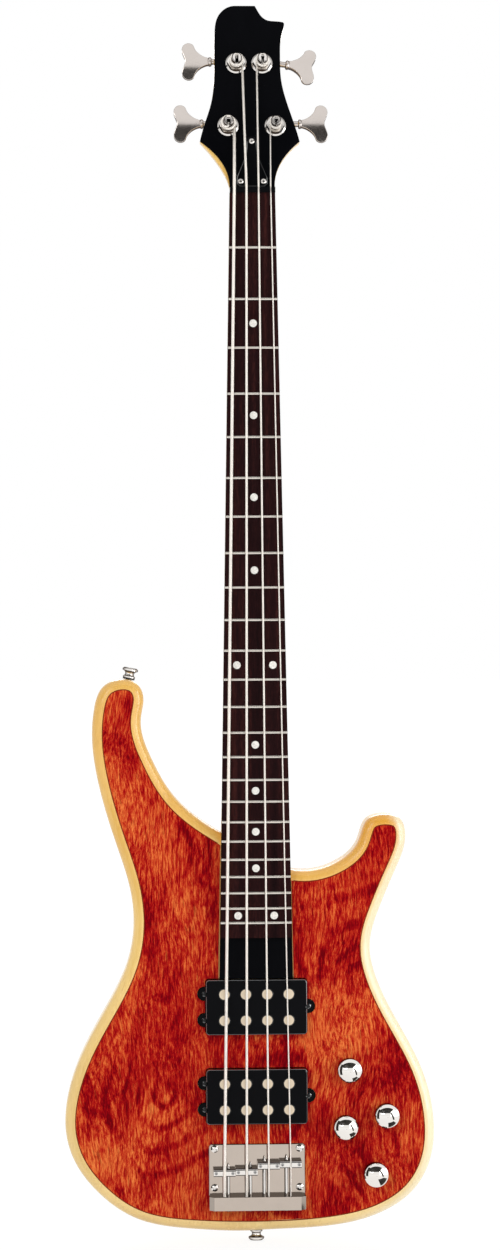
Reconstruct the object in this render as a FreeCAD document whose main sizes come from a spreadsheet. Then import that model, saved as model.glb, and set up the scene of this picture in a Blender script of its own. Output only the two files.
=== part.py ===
"""Four-string electric bass guitar, as a parametric assembly of separate pieces.

Frame in millimetres: +Z runs up the neck to the head, -Y is the playing side, +X is the treble side.
The origin lies on the centre line, at the board edge of the nut, on the glue plane under the fingerboard.
"""
import FreeCAD, Part
import math
import os
import re
from types import SimpleNamespace
from FreeCAD import Placement, Rotation, Vector

SIZES = [
    ("scale_length", 863.6, "nut to saddle line"),
    ("fret_count", 24, "frets on the board"),
    ("nut_width", 40.4, "neck width at the nut"),
    ("neck_width", 63.6, "neck width at the last fret"),
    ("nut_thickness", 5.0, "nut along the neck"),
    ("nut_stand", 3.4, "nut top above the board"),
    ("nut_spread", 32.4, "outer strings apart at the nut"),
    ("bridge_spread", 58.8, "outer strings apart at the saddles"),
    ("gauge_e", 2.67, "string diameter"),
    ("gauge_a", 2.16, "string diameter"),
    ("gauge_d", 1.65, "string diameter"),
    ("gauge_g", 1.14, "string diameter"),
    ("turns_e", 1.75, "turns on the post"),
    ("turns_a", 2.25, "turns on the post"),
    ("turns_d", 2.75, "turns on the post"),
    ("turns_g", 3.75, "turns on the post"),
    ("turn_gap", 0.55, "air between turns"),
    ("nut_action", 0.4, "string above fret level at the nut"),
    ("saddle_rise", 4.3, "string climb from nut to saddle"),
    ("string_seat", 0.2, "air between a string and its seat"),
    ("board_thickness", 6.0, "fingerboard at its crown"),
    ("board_radius", 300.0, "fingerboard crown radius"),
    ("board_overhang", 13.4, "board past the last fret"),
    ("fret_width", 2.4, "fret crown width"),
    ("fret_height", 1.1, "fret crown height"),
    ("fret_inset", 0.3, "fret end back from the board edge"),
    ("dot_diameter", 6.8, "position dot"),
    ("dot_depth", 1.6, "position dot"),
    ("dot_pair", 32.0, "spacing of a pair of dots"),
    ("neck_depth", 15.0, "neck behind the glue plane at the nut"),
    ("shaft_depth", 17.0, "neck behind the glue plane near the heel"),
    ("neck_flank", 4.0, "straight side of the neck section"),
    ("neck_flat", 14.4, "flat of the neck back at the nut"),
    ("shaft_length", 538.0, "nut to the start of the heel swell"),
    ("swell_length", 30.0, "heel swell"),
    ("heel_depth", 20.0, "heel behind the glue plane"),
    ("heel_corner", 2.0, "rounding of the heel's back edges"),
    ("heel_tongue", 36.3, "heel past the board end"),
    ("heel_face_thickness", 0.8, "black heel face"),
    ("head_tilt", 10.0, "degrees"),
    ("head_length", 169.8, "nut to head tip along the face"),
    ("head_face_thickness", 1.0, "black head face"),
    ("shoulder_rise", 43.0, "head shoulder above the nut"),
    ("bass_shoulder", 46.0, "shoulder from the centre line"),
    ("treble_shoulder", 43.0, "shoulder from the centre line"),
    ("bass_waist", 32.4, "head edge from the centre line"),
    ("treble_waist", 26.6, "head edge from the centre line"),
    ("crown_width", 19.0, "bass corner of the head tip, across"),
    ("crown_drop", 44.0, "bass corner of the head tip, down"),
    ("hook_drop", 15.1, "head top to the hook's point"),
    ("hook_flare", 4.05, "hook's point outside the waist"),
    ("hook_span", 26.2, "hook's curve across"),
    ("hook_round", 2.0, "rounding of the hook's point"),
    ("shoulder_round", 9.0, "rounding behind the shoulders"),
    ("rod_diameter", 6.0, "truss rod"),
    ("rod_depth", 7.5, "truss rod axis behind the glue plane"),
    ("rod_length", 640.0, "truss rod below the nut"),
    ("rod_clearance", 0.2, "channel around the rod"),
    ("rod_nut_diameter", 7.4, "truss rod nut"),
    ("rod_nut_length", 12.0, "truss rod nut"),
    ("rod_key", 5.0, "hex socket of the truss rod nut"),
    ("rod_nut_set", 2.0, "string nut to the truss rod nut"),
    ("rod_well_gap", 0.5, "string nut to the access well"),
    ("rod_well_width", 9.0, "access well in the head"),
    ("rod_well_length", 29.0, "access well in the head"),
    ("cover_plate_thickness", 2.0, "truss rod cover"),
    ("cover_plate_width", 27.0, "truss rod cover at the nut"),
    ("cover_plate_length", 46.0, "truss rod cover"),
    ("cover_plate_top", 9.0, "truss rod cover at its top"),
    ("cover_plate_gap", 1.0, "cover to nut"),
    ("cover_plate_corner", 2.5, "corners of the cover's foot"),
    ("cover_screw_inset", 4.4, "cover screws from its ends"),
    ("cover_screw_side", 3.3, "lower cover screws from its sides"),
    ("cover_screw_length", 8.0, "truss rod cover screw"),
    ("post_across_e", 20.8, "post from the centre line"),
    ("post_across_a", 12.9, "post from the centre line"),
    ("post_across_d", 10.2, "post from the centre line"),
    ("post_across_g", 21.4, "post from the centre line"),
    ("low_post_rise", 57.5, "lower posts above the nut along the face"),
    ("tip_post_rise", 115.8, "upper posts above the nut along the face"),
    ("post_diameter", 9.0, "tuner post"),
    ("post_height", 17.5, "tuner post above the head face"),
    ("post_slot_depth", 7.0, "slot in the post top"),
    ("post_neck", 0.6, "winding waist inside the post's radius"),
    ("post_head", 4.5, "plain head of the post"),
    ("post_edge", 0.9, "bevel of the post top"),
    ("post_fit", 0.05, "post in its bushing"),
    ("bushing_flange", 18.8, "bushing washer"),
    ("bushing_flange_thickness", 1.3, "bushing washer"),
    ("bushing_hex", 14.0, "bushing nut across flats"),
    ("bushing_hex_height", 3.2, "bushing nut"),
    ("bushing_sleeve", 12.4, "bushing in the head"),
    ("gear_diameter", 10.8, "gear on the post foot"),
    ("gear_thickness", 5.0, "gear on the post foot"),
    ("gear_set", 1.0, "head back to the gear"),
    ("pivot_length", 3.0, "post foot in the housing"),
    ("worm_diameter", 4.0, "worm on the key shaft"),
    ("worm_gap", 0.3, "worm to gear"),
    ("worm_end", 2.5, "housing's inner wall to the worm"),
    ("axle_bearing", 5.5, "key shaft in the housing's outer wall"),
    ("key_shaft", 5.2, "key shaft diameter"),
    ("key_reach", 23.5, "post axis to the key collar"),
    ("key_length", 24.5, "key blade"),
    ("key_span", 34.8, "key blade"),
    ("key_thickness", 5.0, "key blade"),
    ("key_crown", 100.0, "radius of the key blade's round faces"),
    ("key_edge", 0.5, "rounding of the key blade's edge"),
    ("key_collar", 8.6, "collar at the key's root"),
    ("collar_length", 4.4, "collar at the key's root"),
    ("key_root", 6.4, "key blade at its root"),
    ("housing_depth", 13.0, "tuner housing behind the head"),
    ("housing_inner", 10.0, "housing from post axis toward the centre"),
    ("housing_outer", 13.5, "housing from post axis toward the key"),
    ("housing_low", 9.5, "housing from post axis toward the nut"),
    ("housing_high", 12.5, "housing from post axis toward the tip"),
    ("housing_corner", 5.0, "housing corners"),
    ("lug_diameter", 7.0, "housing fixing lug"),
    ("lug_thickness", 2.2, "housing fixing lug"),
    ("lug_relief", 0.5, "air around the lug screw's head"),
    ("tuner_screw_length", 10.0, "housing fixing screw"),
    ("body_length", 491.8, "upper horn to tail"),
    ("body_width", 329.0, "widest part of the outline"),
    ("body_thickness", 40.0, "body"),
    ("body_tail", 59.4, "saddle line to the tail"),
    ("neck_stand", 2.5, "glue plane above the body front"),
    ("rim_set", 1.5, "rim fittings behind the body's middle"),
    ("front_round", 8.9, "front edge rounding"),
    ("back_round", 8.0, "back edge rounding"),
    ("top_thickness", 1.0, "figured top"),
    ("top_land", 0.5, "bare flat between rounding and top"),
    ("pocket_clearance", 0.1, "neck in its pocket"),
    ("pocket_reveal", 0.9, "maple shown beside the neck"),
    ("pickup_width", 90.0, "pickup cover"),
    ("pickup_height", 49.0, "pickup cover along the strings"),
    ("pickup_corner", 3.0, "pickup cover corners"),
    ("pickup_stand", 8.0, "pickup cover above the body"),
    ("pickup_depth", 19.0, "pickup cover front to back"),
    ("pickup_wall", 1.8, "pickup cover wall"),
    ("pickup_edge", 1.4, "pickup cover edge rounding"),
    ("pickup_gap", 0.8, "heel to neck pickup"),
    ("pickup_clearance", 0.6, "pickup in its cavity"),
    ("bridge_pickup_set", 61.4, "saddle line to bridge pickup centre"),
    ("ear_radius", 5.8, "pickup ear"),
    ("ear_reach", 1.2, "ear screw outside the cover edge"),
    ("ear_spread", 23.4, "ear screws apart on the bass side"),
    ("ear_stand", 1.2, "ear above the body"),
    ("ear_thickness", 3.0, "pickup ear"),
    ("ear_well", 12.0, "ear pocket in the body"),
    ("pickup_well", 22.0, "pickup cavity in the body"),
    ("pole_diameter", 10.3, "pickup pole"),
    ("pole_pitch", 19.06, "poles apart across the strings"),
    ("pole_rows", 23.2, "pole rows apart"),
    ("pole_length", 17.0, "pickup pole"),
    ("pole_stand", 0.5, "pole above the cover"),
    ("pole_fit", 0.05, "pole in its holes"),
    ("coil_width", 15.0, "coil along the strings"),
    ("coil_depth", 11.0, "coil front to back"),
    ("wire_hole", 6.0, "drilled wire way"),
    ("plate_width", 85.5, "bridge plate"),
    ("plate_length", 57.0, "bridge plate"),
    ("plate_thickness", 2.6, "bridge plate"),
    ("plate_front", 18.9, "saddle line to the plate's front edge"),
    ("plate_corner", 3.0, "bridge plate corners"),
    ("tail_length", 11.8, "tail block along the strings"),
    ("tail_height", 13.4, "tail block above the plate"),
    ("tail_bevel", 4.2, "bevel at the tail block ends"),
    ("plate_screw_across", 75.6, "plate screws apart"),
    ("plate_screw_along", 34.5, "plate screws apart"),
    ("plate_screw_edge", 3.9, "plate front edge to the first screws"),
    ("saddle_length", 6.4, "saddle along the string"),
    ("saddle_gap", 0.3, "saddle to saddle"),
    ("saddle_lift", 0.5, "saddle above the plate"),
    ("saddle_crown", 0.9, "saddle above the string's underside"),
    ("saddle_set_e", 5.2, "saddle behind the scale line"),
    ("saddle_set_a", 4.2, "saddle behind the scale line"),
    ("saddle_set_d", -1.0, "saddle behind the scale line"),
    ("saddle_set_g", -1.9, "saddle behind the scale line"),
    ("height_screw", 3.0, "height screw diameter"),
    ("height_screw_across", 14.8, "height screws apart"),
    ("height_screw_proud", 0.6, "height screw above the saddle"),
    ("screw_fit", 0.06, "air around a bridge screw"),
    ("foot_gap", 0.1, "height screw above the plate"),
    ("intonation_screw", 3.0, "intonation screw diameter"),
    ("intonation_offset", 3.6, "intonation screw beside the string"),
    ("intonation_rise", 2.8, "intonation screw above the plate"),
    ("intonation_reach", 8.0, "intonation screw past the saddle centre"),
    ("screw_head", 5.2, "intonation screw head"),
    ("screw_head_height", 2.2, "intonation screw head"),
    ("string_hole_rise", 8.1, "string hole above the plate"),
    ("ball_diameter", 6.2, "string ball end"),
    ("ball_length", 5.0, "string ball end"),
    ("ball_sink", 0.5, "ball end inside the tail block"),
    ("tail_lead", 1.0, "string bend ahead of the tail block"),
    ("bend_set", 0.4, "string bend from the edge of its seat"),
    ("string_bend", 10.0, "bend of a string over its seats"),
    ("knob_diameter", 21.2, "knob"),
    ("knob_height", 15.5, "knob"),
    ("knob_crown", 5.0, "rise of the knob's dome"),
    ("knob_gap", 0.7, "knob above the body"),
    ("knob_hollow", 16.0, "hollow under the knob"),
    ("knob_hollow_depth", 5.0, "hollow under the knob"),
    ("knob_edge", 0.4, "bevel of the knob's foot"),
    ("knob_cover", 3.5, "knob above its shaft"),
    ("shaft_seat", 5.0, "control shaft in the can"),
    ("shaft_end", 0.3, "air below the control shaft"),
    ("shaft_diameter", 6.0, "control shaft"),
    ("shaft_fit", 0.05, "control shaft in its bush"),
    ("bush_diameter", 8.0, "control bush"),
    ("bush_clearance", 0.1, "bush in the body front"),
    ("pot_diameter", 16.6, "control can"),
    ("pot_depth", 9.5, "control can"),
    ("pot_nut", 11.0, "control nut across flats"),
    ("pot_nut_height", 2.2, "control nut"),
    ("control_wall", 8.0, "body front over the control cavity"),
    ("control_lip", 6.5, "cover ledge around the cavity"),
    ("control_cover_thickness", 2.0, "control cover"),
    ("control_cover_gap", 0.2, "cover in its recess"),
    ("control_cover_sink", 0.2, "cover below the back"),
    ("jack_drop", 27.6, "jack above the saddle line, toward the neck"),
    ("jack_flange", 19.0, "jack flange"),
    ("jack_flange_thickness", 3.0, "jack flange"),
    ("jack_sink", 1.0, "jack flange below the rim"),
    ("jack_sleeve", 11.6, "jack sleeve"),
    ("jack_length", 26.0, "jack sleeve"),
    ("jack_bore", 6.5, "jack bore"),
    ("jack_clearance", 0.1, "jack in the body"),
    ("jack_edge", 0.8, "bevel of the jack flange"),
    ("neck_screw_across", 38.0, "neck screws apart"),
    ("neck_screw_along", 47.0, "neck screws apart"),
    ("neck_screw_edge", 25.0, "heel end to the lower neck screws"),
    ("neck_screw", 4.8, "neck screw diameter"),
    ("neck_screw_cover", 6.0, "wood left over the neck screw tip"),
    ("ferrule", 15.0, "neck screw ferrule"),
    ("ferrule_depth", 5.0, "neck screw ferrule"),
    ("ferrule_sink", 0.3, "ferrule below the back"),
    ("ferrule_edge", 0.6, "bevel of the ferrule"),
    ("small_screw", 2.4, "small wood screw diameter"),
    ("small_screw_head", 4.8, "small wood screw head"),
    ("small_screw_length", 12.0, "small wood screw"),
    ("small_head_height", 1.3, "small wood screw head"),
    ("plate_screw", 3.6, "bridge plate screw diameter"),
    ("plate_screw_head", 6.6, "bridge plate screw head"),
    ("plate_screw_length", 26.0, "bridge plate screw"),
    ("plate_head_height", 1.7, "bridge plate screw head"),
    ("pickup_screw_length", 22.0, "pickup screw"),
    ("strap_head", 14.0, "strap button head"),
    ("strap_height", 9.0, "strap button"),
    ("strap_waist", 8.0, "strap button waist"),
    ("strap_base", 11.0, "strap button base"),
    ("strap_foot", 1.2, "straight edge of the strap button base"),
    ("strap_edge", 1.4, "bevel of the strap button head"),
    ("felt_diameter", 10.6, "felt washer"),
    ("felt_thickness", 1.6, "felt washer"),
    ("strap_screw", 3.6, "strap button screw diameter"),
    ("strap_screw_length", 30.0, "strap button screw"),
    ("strap_tilt", 11.0, "upper strap button leans to the treble side, degrees"),
    ("fit", 0.02, "hair gap around fixed pieces"),
]

doc = FreeCAD.newDocument("bass_guitar")
sheet = doc.addObject("Spreadsheet::Sheet", "Sizes")
for row, (alias, number, meaning) in enumerate(SIZES, start=1):
    sheet.set(f"A{row}", meaning)
    sheet.set(f"B{row}", str(number))
    sheet.setAlias(f"B{row}", alias)
doc.recompute()
dim = SimpleNamespace(**{alias: float(sheet.get(alias)) for alias, _, _ in SIZES})
ALIASES = re.compile(r"\b(" + "|".join(alias for alias, _, _ in SIZES) + r")\b")

# Body template: across from the centre line and up from the tail, on a blank of these sizes.
TEMPLATE_LENGTH, TEMPLATE_WIDTH = 491.8, 329.0
BODY_TEMPLATE = [
    (0, 0), (62, 3), (112, 15), (142, 36.5), (156.5, 66), (158.6, 97), (148, 143), (126, 186), (107.5, 225),
    (102.2, 253), (111, 287), (126, 322), (134.6, 350), (130.5, 365.5), (115, 370.2), (100.5, 365.5),
    (92, 346), (74, 328.5), (46, 320.5), (10, 329), (-20, 348), (-46, 364.5), (-72, 387.5), (-92, 421.5),
    (-101, 457), (-98.8, 477), (-104.5, 488), (-120, 491.8), (-135, 485), (-143, 465), (-144.8, 439),
    (-139.5, 400), (-124, 346), (-112, 307), (-108.5, 278), (-114, 240), (-133, 200), (-155.5, 158),
    (-168, 120), (-170, 92), (-162, 63), (-142.5, 36.5), (-108, 12), (-58, 2),
]
# Knobs: across from the centre line on the template, and along from the saddle line toward the neck.
KNOBS = [
    ("neck_volume_knob", 82.6, 83.8),
    ("bridge_volume_knob", 115.7, 43.2),
    ("bass_knob", 79.0, 33.1),
    ("treble_knob", 105.6, -8.9),
]
# Control cavity corners, measured like the knobs.
CONTROL_CAVITY = [(63, 103), (98, 103), (136, 56), (136, 14), (121, -28), (90, -28), (60, 17)]
CONTROL_CORNER = 12.0
# Head edges as shares: up from the shoulder to the tip's corner, out from the waist to the shoulder.
TREBLE_EDGE = [(0, 1), (0.15, 0.72), (0.345, 0.306), (0.54, 0.03), (0.715, 0)]
BASS_EDGE = [(0, 1), (0.22, 0.63), (0.425, 0.246), (0.695, 0.03)]
# Head tip as shares: flank of the hook (up, out), its curve (in, up) and the bass corner (in, down).
HOOK_FLANK = [(0.915, 0.45), (0.98, 0.93)]
HOOK_CURVE = [(0, 0), (0.31, 0.05), (0.58, 0.13), (0.76, 0.355), (0.89, 0.675), (1, 1)]
CROWN_CORNER = [(1, 0), (0.5, 0.073), (0.168, 0.25), (0.03, 0.545)]
# Head shoulders: power of the rise, for the black face and for the wood that shows beside it.
FACE_SWEEP, WOOD_SWEEP = 2.25, 1.5
# Truss rod cover flank as shares: up its length, in from the foot's width to the top's width.
COVER_FLANK = [(0.174, 0), (0.348, 0.356), (0.587, 0.822)]
# Key blade lobe as shares of its length and half span, after its root.
KEY_LOBE = [(0.33, 0.37), (0.54, 0.745), (0.575, 0.87), (0.745, 1), (0.93, 0.89), (1, 0.665), (0.945, 0.31),
            (0.885, 0)]
QUARTER_ARC = 0.5523  # handle of a Bezier curve that follows a quarter of an ellipse
# Strings from the bass side: letter, order across the neck and side of the head.
STRINGS = [("e", 0, -1), ("a", 1, -1), ("d", 2, 1), ("g", 3, 1)]
# Tuners at rest, in degrees: housing askew on its post, and key turned on its shaft.
TUNER_REST = {"e": (0, 0), "a": (0, 0), "d": (7.0, -9.0), "g": (0, 0)}
SINGLE_DOT_FRETS = (3, 5, 7, 9, 15, 17, 19, 21)
DOUBLE_DOT_FRETS = (12, 24)
FRONT_VIEW = Rotation(Vector(1, 0, 0), 90)
FORWARD, BACKWARD = Vector(0, -1, 0), Vector(0, 1, 0)

saddle_line = -dim.scale_length
board_end = -dim.scale_length * (1 - 2 ** (-dim.fret_count / 12)) - dim.board_overhang
heel_end = board_end - dim.heel_tongue
tail_end = saddle_line - dim.body_tail
body_front = dim.neck_stand
body_back = dim.neck_stand + dim.body_thickness
body_middle = body_front + dim.body_thickness / 2 + dim.rim_set
plate_top = body_front - dim.plate_thickness
head_depth = dim.neck_depth * math.cos(math.radians(dim.head_tilt))
HEAD = Placement(Vector(0, 0, dim.nut_thickness), Rotation(Vector(1, 0, 0), -dim.head_tilt))


def bind(obj, **formulas):
    """Tie properties of an object to cells of the size sheet."""
    for prop, formula in formulas.items():
        obj.setExpression(prop, ALIASES.sub(r"Sizes.\1", formula))
    return obj


def half_width(z):
    """Half the neck's width at a height z, on a straight taper from the nut to the last fret."""
    last_fret = dim.scale_length * (1 - 2 ** (-dim.fret_count / 12))
    return dim.nut_width / 2 + (dim.neck_width - dim.nut_width) / 2 * (-z / last_fret)


def fret_height_at(number):
    """Height of a fret by equal temperament."""
    return -dim.scale_length * (1 - 2 ** (-number / 12))


def segments(points):
    """Closed chain of straight edges through flat points."""
    corners = [Vector(x, y, 0) for x, y in points]
    return [Part.LineSegment(a, b) for a, b in zip(corners, corners[1:] + corners[:1])]


def rounded(points, radius):
    """Closed polygon whose corners are tangent arcs of one radius."""
    corners = [Vector(x, y, 0) for x, y in points]
    starts, ends, edges = [], [], []
    for i, corner in enumerate(corners):
        to_last = (corners[i - 1] - corner).normalize()
        to_next = (corners[(i + 1) % len(corners)] - corner).normalize()
        half_angle = to_last.getAngle(to_next) / 2
        reach = radius / math.tan(half_angle)
        bisector = (to_last + to_next).normalize()
        middle = corner + bisector * (radius / math.sin(half_angle) - radius)
        starts.append(corner + to_last * reach)
        ends.append(corner + to_next * reach)
        edges.append(Part.Arc(starts[-1], middle, ends[-1]))
    edges += [Part.LineSegment(ends[i - 1], starts[i]) for i in range(len(corners))]
    return edges


def rectangle(across, along, width, height, radius=0.0):
    """Rectangle about a centre, with round corners where a radius is given."""
    w, h = width / 2, height / 2
    corners = [(across - w, along - h), (across + w, along - h),
               (across + w, along + h), (across - w, along + h)]
    return rounded(corners, radius) if radius else segments(corners)


def ring(across, along, diameter):
    """Full circle."""
    return [Part.Circle(Vector(across, along, 0), Vector(0, 0, 1), diameter / 2)]


def spline(points, closed=False):
    """Smooth curve through flat points."""
    curve = Part.BSplineCurve()
    curve.interpolate(Points=[Vector(x, y, 0) for x, y in points], PeriodicFlag=closed)
    return curve


def front_sketch(name, depth, geometry, body=None):
    """Sketch seen from the playing side, X across and Z up, at a depth behind the glue plane."""
    if body is None:
        sketch = doc.addObject("Sketcher::SketchObject", name)
        sketch.Placement = Placement(Vector(0, depth, 0), FRONT_VIEW)
    else:
        sketch = body.newObject("Sketcher::SketchObject", name)
        plane = next(f for f in body.Origin.OriginFeatures if f.Role == "XZ_Plane")
        sketch.AttachmentSupport = [(plane, "")]
        sketch.MapMode = "FlatFace"
        sketch.AttachmentOffset = Placement(Vector(0, 0, -depth), Rotation())
    sketch.addGeometry(geometry, False)
    return sketch


def slab(name, geometry, front, thickness, place=Placement()):
    """Flat outline given a thickness toward the back."""
    block = doc.addObject("Part::Extrusion", name)
    block.Base = front_sketch(name + "_outline", front, geometry)
    block.DirMode = "Custom"
    block.Dir = BACKWARD
    block.Solid = True
    block.Placement = place
    return bind(block, LengthFwd=thickness)


def padded(label, geometry, front, thickness):
    """Body made by padding a front outline toward the back."""
    body = doc.addObject("PartDesign::Body", label)
    pad = body.newObject("PartDesign::Pad", label + "_pad")
    pad.Profile = front_sketch(label + "_outline", front, geometry, body)
    pad.Reversed = True
    bind(pad, Length=thickness)
    doc.recompute()
    return body, pad


def pocket(body, name, geometry, front, depth):
    """Cut a front outline into a body, toward the back."""
    cut = body.newObject("PartDesign::Pocket", name)
    cut.Profile = front_sketch(name + "_outline", front, geometry, body)
    before = body.Shape.Volume
    bind(cut, Length=depth)
    doc.recompute()
    if body.Shape.Volume >= before:
        raise RuntimeError(name + " cut nothing")
    return cut


def edges_on(feature, depth):
    """Names of the edges that lie in one front plane."""
    names = []
    for i, edge in enumerate(feature.Shape.Edges, start=1):
        if abs(edge.BoundBox.YMin - depth) < 1e-4 and abs(edge.BoundBox.YMax - depth) < 1e-4:
            names.append(f"Edge{i}")
    return names


def dress(body, kind, base, edges, size):
    """Fillet or chamfer named edges of a body's last feature."""
    dressed = body.newObject("PartDesign::" + kind, body.Name + "_" + kind.lower())
    dressed.Base = (base, edges)
    bind(dressed, **{"Radius" if kind == "Fillet" else "Size": size})
    doc.recompute()
    return dressed


def cylinder(name, diameter, length, base, axis):
    """Round bar from a base point along an axis."""
    bar = doc.addObject("Part::Cylinder", name)
    bar.Placement = Placement(base, Rotation(Vector(0, 0, 1), axis))
    return bind(bar, Radius=f"({diameter}) / 2", Height=length)


def prism(name, across_flats, length, base, axis):
    """Hexagonal bar from a base point along an axis."""
    bar = doc.addObject("Part::Prism", name)
    bar.Polygon = 6
    bar.Placement = Placement(base, Rotation(Vector(0, 0, 1), axis))
    return bind(bar, Circumradius=f"({across_flats}) / sqrt(3)", Height=length)


def block(name, low, length, width, height):
    """Box from its low corner, with sizes along X, Y and Z."""
    box = doc.addObject("Part::Box", name)
    box.Placement.Base = low
    return bind(box, Length=length, Width=width, Height=height)


def turned(name, profile, base=Vector(), axis=Vector(0, 0, 1)):
    """Lathe form: profile of (radius, height) points, an arc given as a pair of middle and end points."""
    edges, here = [], Vector(*profile[0], 0)
    for step in profile[1:] + profile[:1]:
        if isinstance(step[0], tuple):
            middle, there = Vector(*step[0], 0), Vector(*step[1], 0)
            edges.append(Part.Arc(here, middle, there))
        else:
            there = Vector(*step, 0)
            edges.append(Part.LineSegment(here, there))
        here = there
    form = doc.addObject("Part::Revolution", name)
    form.Source = front_sketch(name + "_profile", 0, edges)
    form.Axis = Vector(0, 0, 1)
    form.Solid = True
    form.Placement = Placement(base, Rotation(Vector(0, 0, 1), axis))
    return form


def cap(radius, low, high):
    """Arc of a spherical cap from a rim to its pole, as a profile step."""
    rise = high - low
    ball = (radius ** 2 + rise ** 2) / (2 * rise)
    half = math.asin(radius / abs(ball)) / 2
    if abs(rise) > radius:
        half = math.pi / 2 - half
    return (abs(ball) * math.sin(half), high - ball + ball * math.cos(half)), (0, high)


def fused(name, pieces):
    """Join pieces into one solid."""
    union = doc.addObject("Part::MultiFuse", name)
    union.Shapes = pieces
    union.Refine = True
    return union


def cut(name, base, tools, place=Placement()):
    """Take tools out of a base."""
    rest = doc.addObject("Part::Cut", name)
    rest.Base = base
    rest.Tool = tools[0] if len(tools) == 1 else group(name + "_tools", tools)
    rest.Placement = place
    return rest


def group(name, pieces, place=Placement()):
    """Several separate solids under one name."""
    gathered = doc.addObject("Part::Compound", name)
    gathered.Links = pieces
    gathered.Placement = place
    return gathered


def wood_screw(name, base, axis, diameter, head, length, crown=0.0):
    """Screw with its head's seat at the base point and a cross recess, countersunk unless it has a crown."""
    r, big = diameter / 2, head / 2
    profile = [(0, length), (r * 0.4, length - r), (r, length - 3 * r)]
    if crown:
        profile += [(r, 0), (big, 0), (big, -crown * 0.4), cap(big, -crown * 0.4, -crown)]
    else:
        profile += [(r, big - r), (big, 0), (0, 0)]
    screw = turned(name + "_turned", profile, base, axis)
    slots = []
    for turn in (0, 90):
        slot = doc.addObject("Part::Box", f"{name}_slot_{turn}")
        slot.Length, slot.Width, slot.Height = big * 1.1, big * 0.26, crown * 0.6 or big * 0.15
        inner = Placement(Vector(-big * 0.55, -big * 0.13, -crown), Rotation())
        spin = Placement(Vector(), Rotation(Vector(0, 0, 1), turn))
        slot.Placement = screw.Placement.multiply(spin).multiply(inner)
        slots.append(slot)
    return cut(name, screw, slots)


def string_data(letter, order):
    """Where a string crosses the nut and the saddle, and the height of its axis there."""
    gauge = getattr(dim, "gauge_" + letter)
    share = order / (len(STRINGS) - 1) - 0.5
    at_nut, at_saddle = share * dim.nut_spread, share * dim.bridge_spread
    fret_level = -dim.board_thickness - dim.fret_height - dim.nut_action
    nut_under = fret_level + at_nut ** 2 / (2 * dim.board_radius)
    saddle_under = fret_level - dim.saddle_rise + at_saddle ** 2 / (2 * dim.board_radius)
    return SimpleNamespace(
        gauge=gauge, at_nut=at_nut, at_saddle=at_saddle, nut_under=nut_under, saddle_under=saddle_under,
        saddle_z=saddle_line - getattr(dim, "saddle_set_" + letter),
        turns=getattr(dim, "turns_" + letter), inward=1 if at_saddle < 0 else -1)


def post_place(letter, side):
    """Post axis on the head face: across and up along the face."""
    rise = dim.low_post_rise if letter in "eg" else dim.tip_post_rise
    return side * getattr(dim, "post_across_" + letter), rise


def tuner_twist(letter, side):
    """Turn of a tuner's housing about its post, on the head."""
    across, rise = post_place(letter, side)
    return Placement(Vector(), Rotation(Vector(0, 1, 0), TUNER_REST[letter][0]), Vector(across, 0, rise))


def body_point(across, up):
    """Template point at the body's own size and place."""
    wide = dim.body_width / TEMPLATE_WIDTH
    tall = dim.body_length / TEMPLATE_LENGTH
    return across * wide, tail_end + up * tall


def body_outline():
    """Closed outline of the body."""
    return spline([body_point(across, up) for across, up in BODY_TEMPLATE], closed=True)


def spans(curve, count=8):
    """Closed curve as a chain of equal spans."""
    first, last = curve.FirstParameter, curve.LastParameter
    pieces = []
    for i in range(count):
        piece = curve.copy()
        piece.segment(first + (last - first) * i / count, first + (last - first) * (i + 1) / count)
        pieces.append(piece)
    return pieces


def inset_outline(inset):
    """Body outline moved inward by a steady distance, through five points for each template point."""
    curve = body_outline()
    count = 5 * len(BODY_TEMPLATE)
    first, last = curve.FirstParameter, curve.LastParameter
    points = []
    for i in range(count):
        u = first + (last - first) * i / count
        here, along = curve.value(u), curve.tangent(u)[0]
        points.append((here.x - along.y * inset, here.y + along.x * inset))
    return spline(points, closed=True)


def neck_trapezoid(low, high, extra=0.0):
    """Front outline of the neck between two heights, widened by an amount each side."""
    a, b = half_width(low) + extra, half_width(high) + extra
    return segments([(-a, low), (a, low), (b, high), (-b, high)])


def pickup_outline(centre, grow=0.0):
    """Cover rectangle of a pickup."""
    return rectangle(0, centre, dim.pickup_width + 2 * grow, dim.pickup_height + 2 * grow,
                     dim.pickup_corner + grow)


def ear_places(centre):
    """Ear screws: two on the bass side and one on the treble side."""
    across = dim.pickup_width / 2 + dim.ear_reach
    return [(-across, centre + dim.ear_spread / 2), (-across, centre - dim.ear_spread / 2), (across, centre)]


def ear_outline(across, along, grow=0.0):
    """Round-ended tab from inside the cover's wall out around its screw."""
    side = 1 if across > 0 else -1
    r = dim.ear_radius + grow
    root = across - side * (dim.ear_reach + dim.pickup_wall)
    low, high = Vector(across, along - r, 0), Vector(across, along + r, 0)
    root_low, root_high = Vector(root, along - r, 0), Vector(root, along + r, 0)
    return [Part.LineSegment(root_low, low), Part.Arc(low, Vector(across + side * r, along, 0), high),
            Part.LineSegment(high, root_high), Part.LineSegment(root_high, root_low)]


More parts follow.
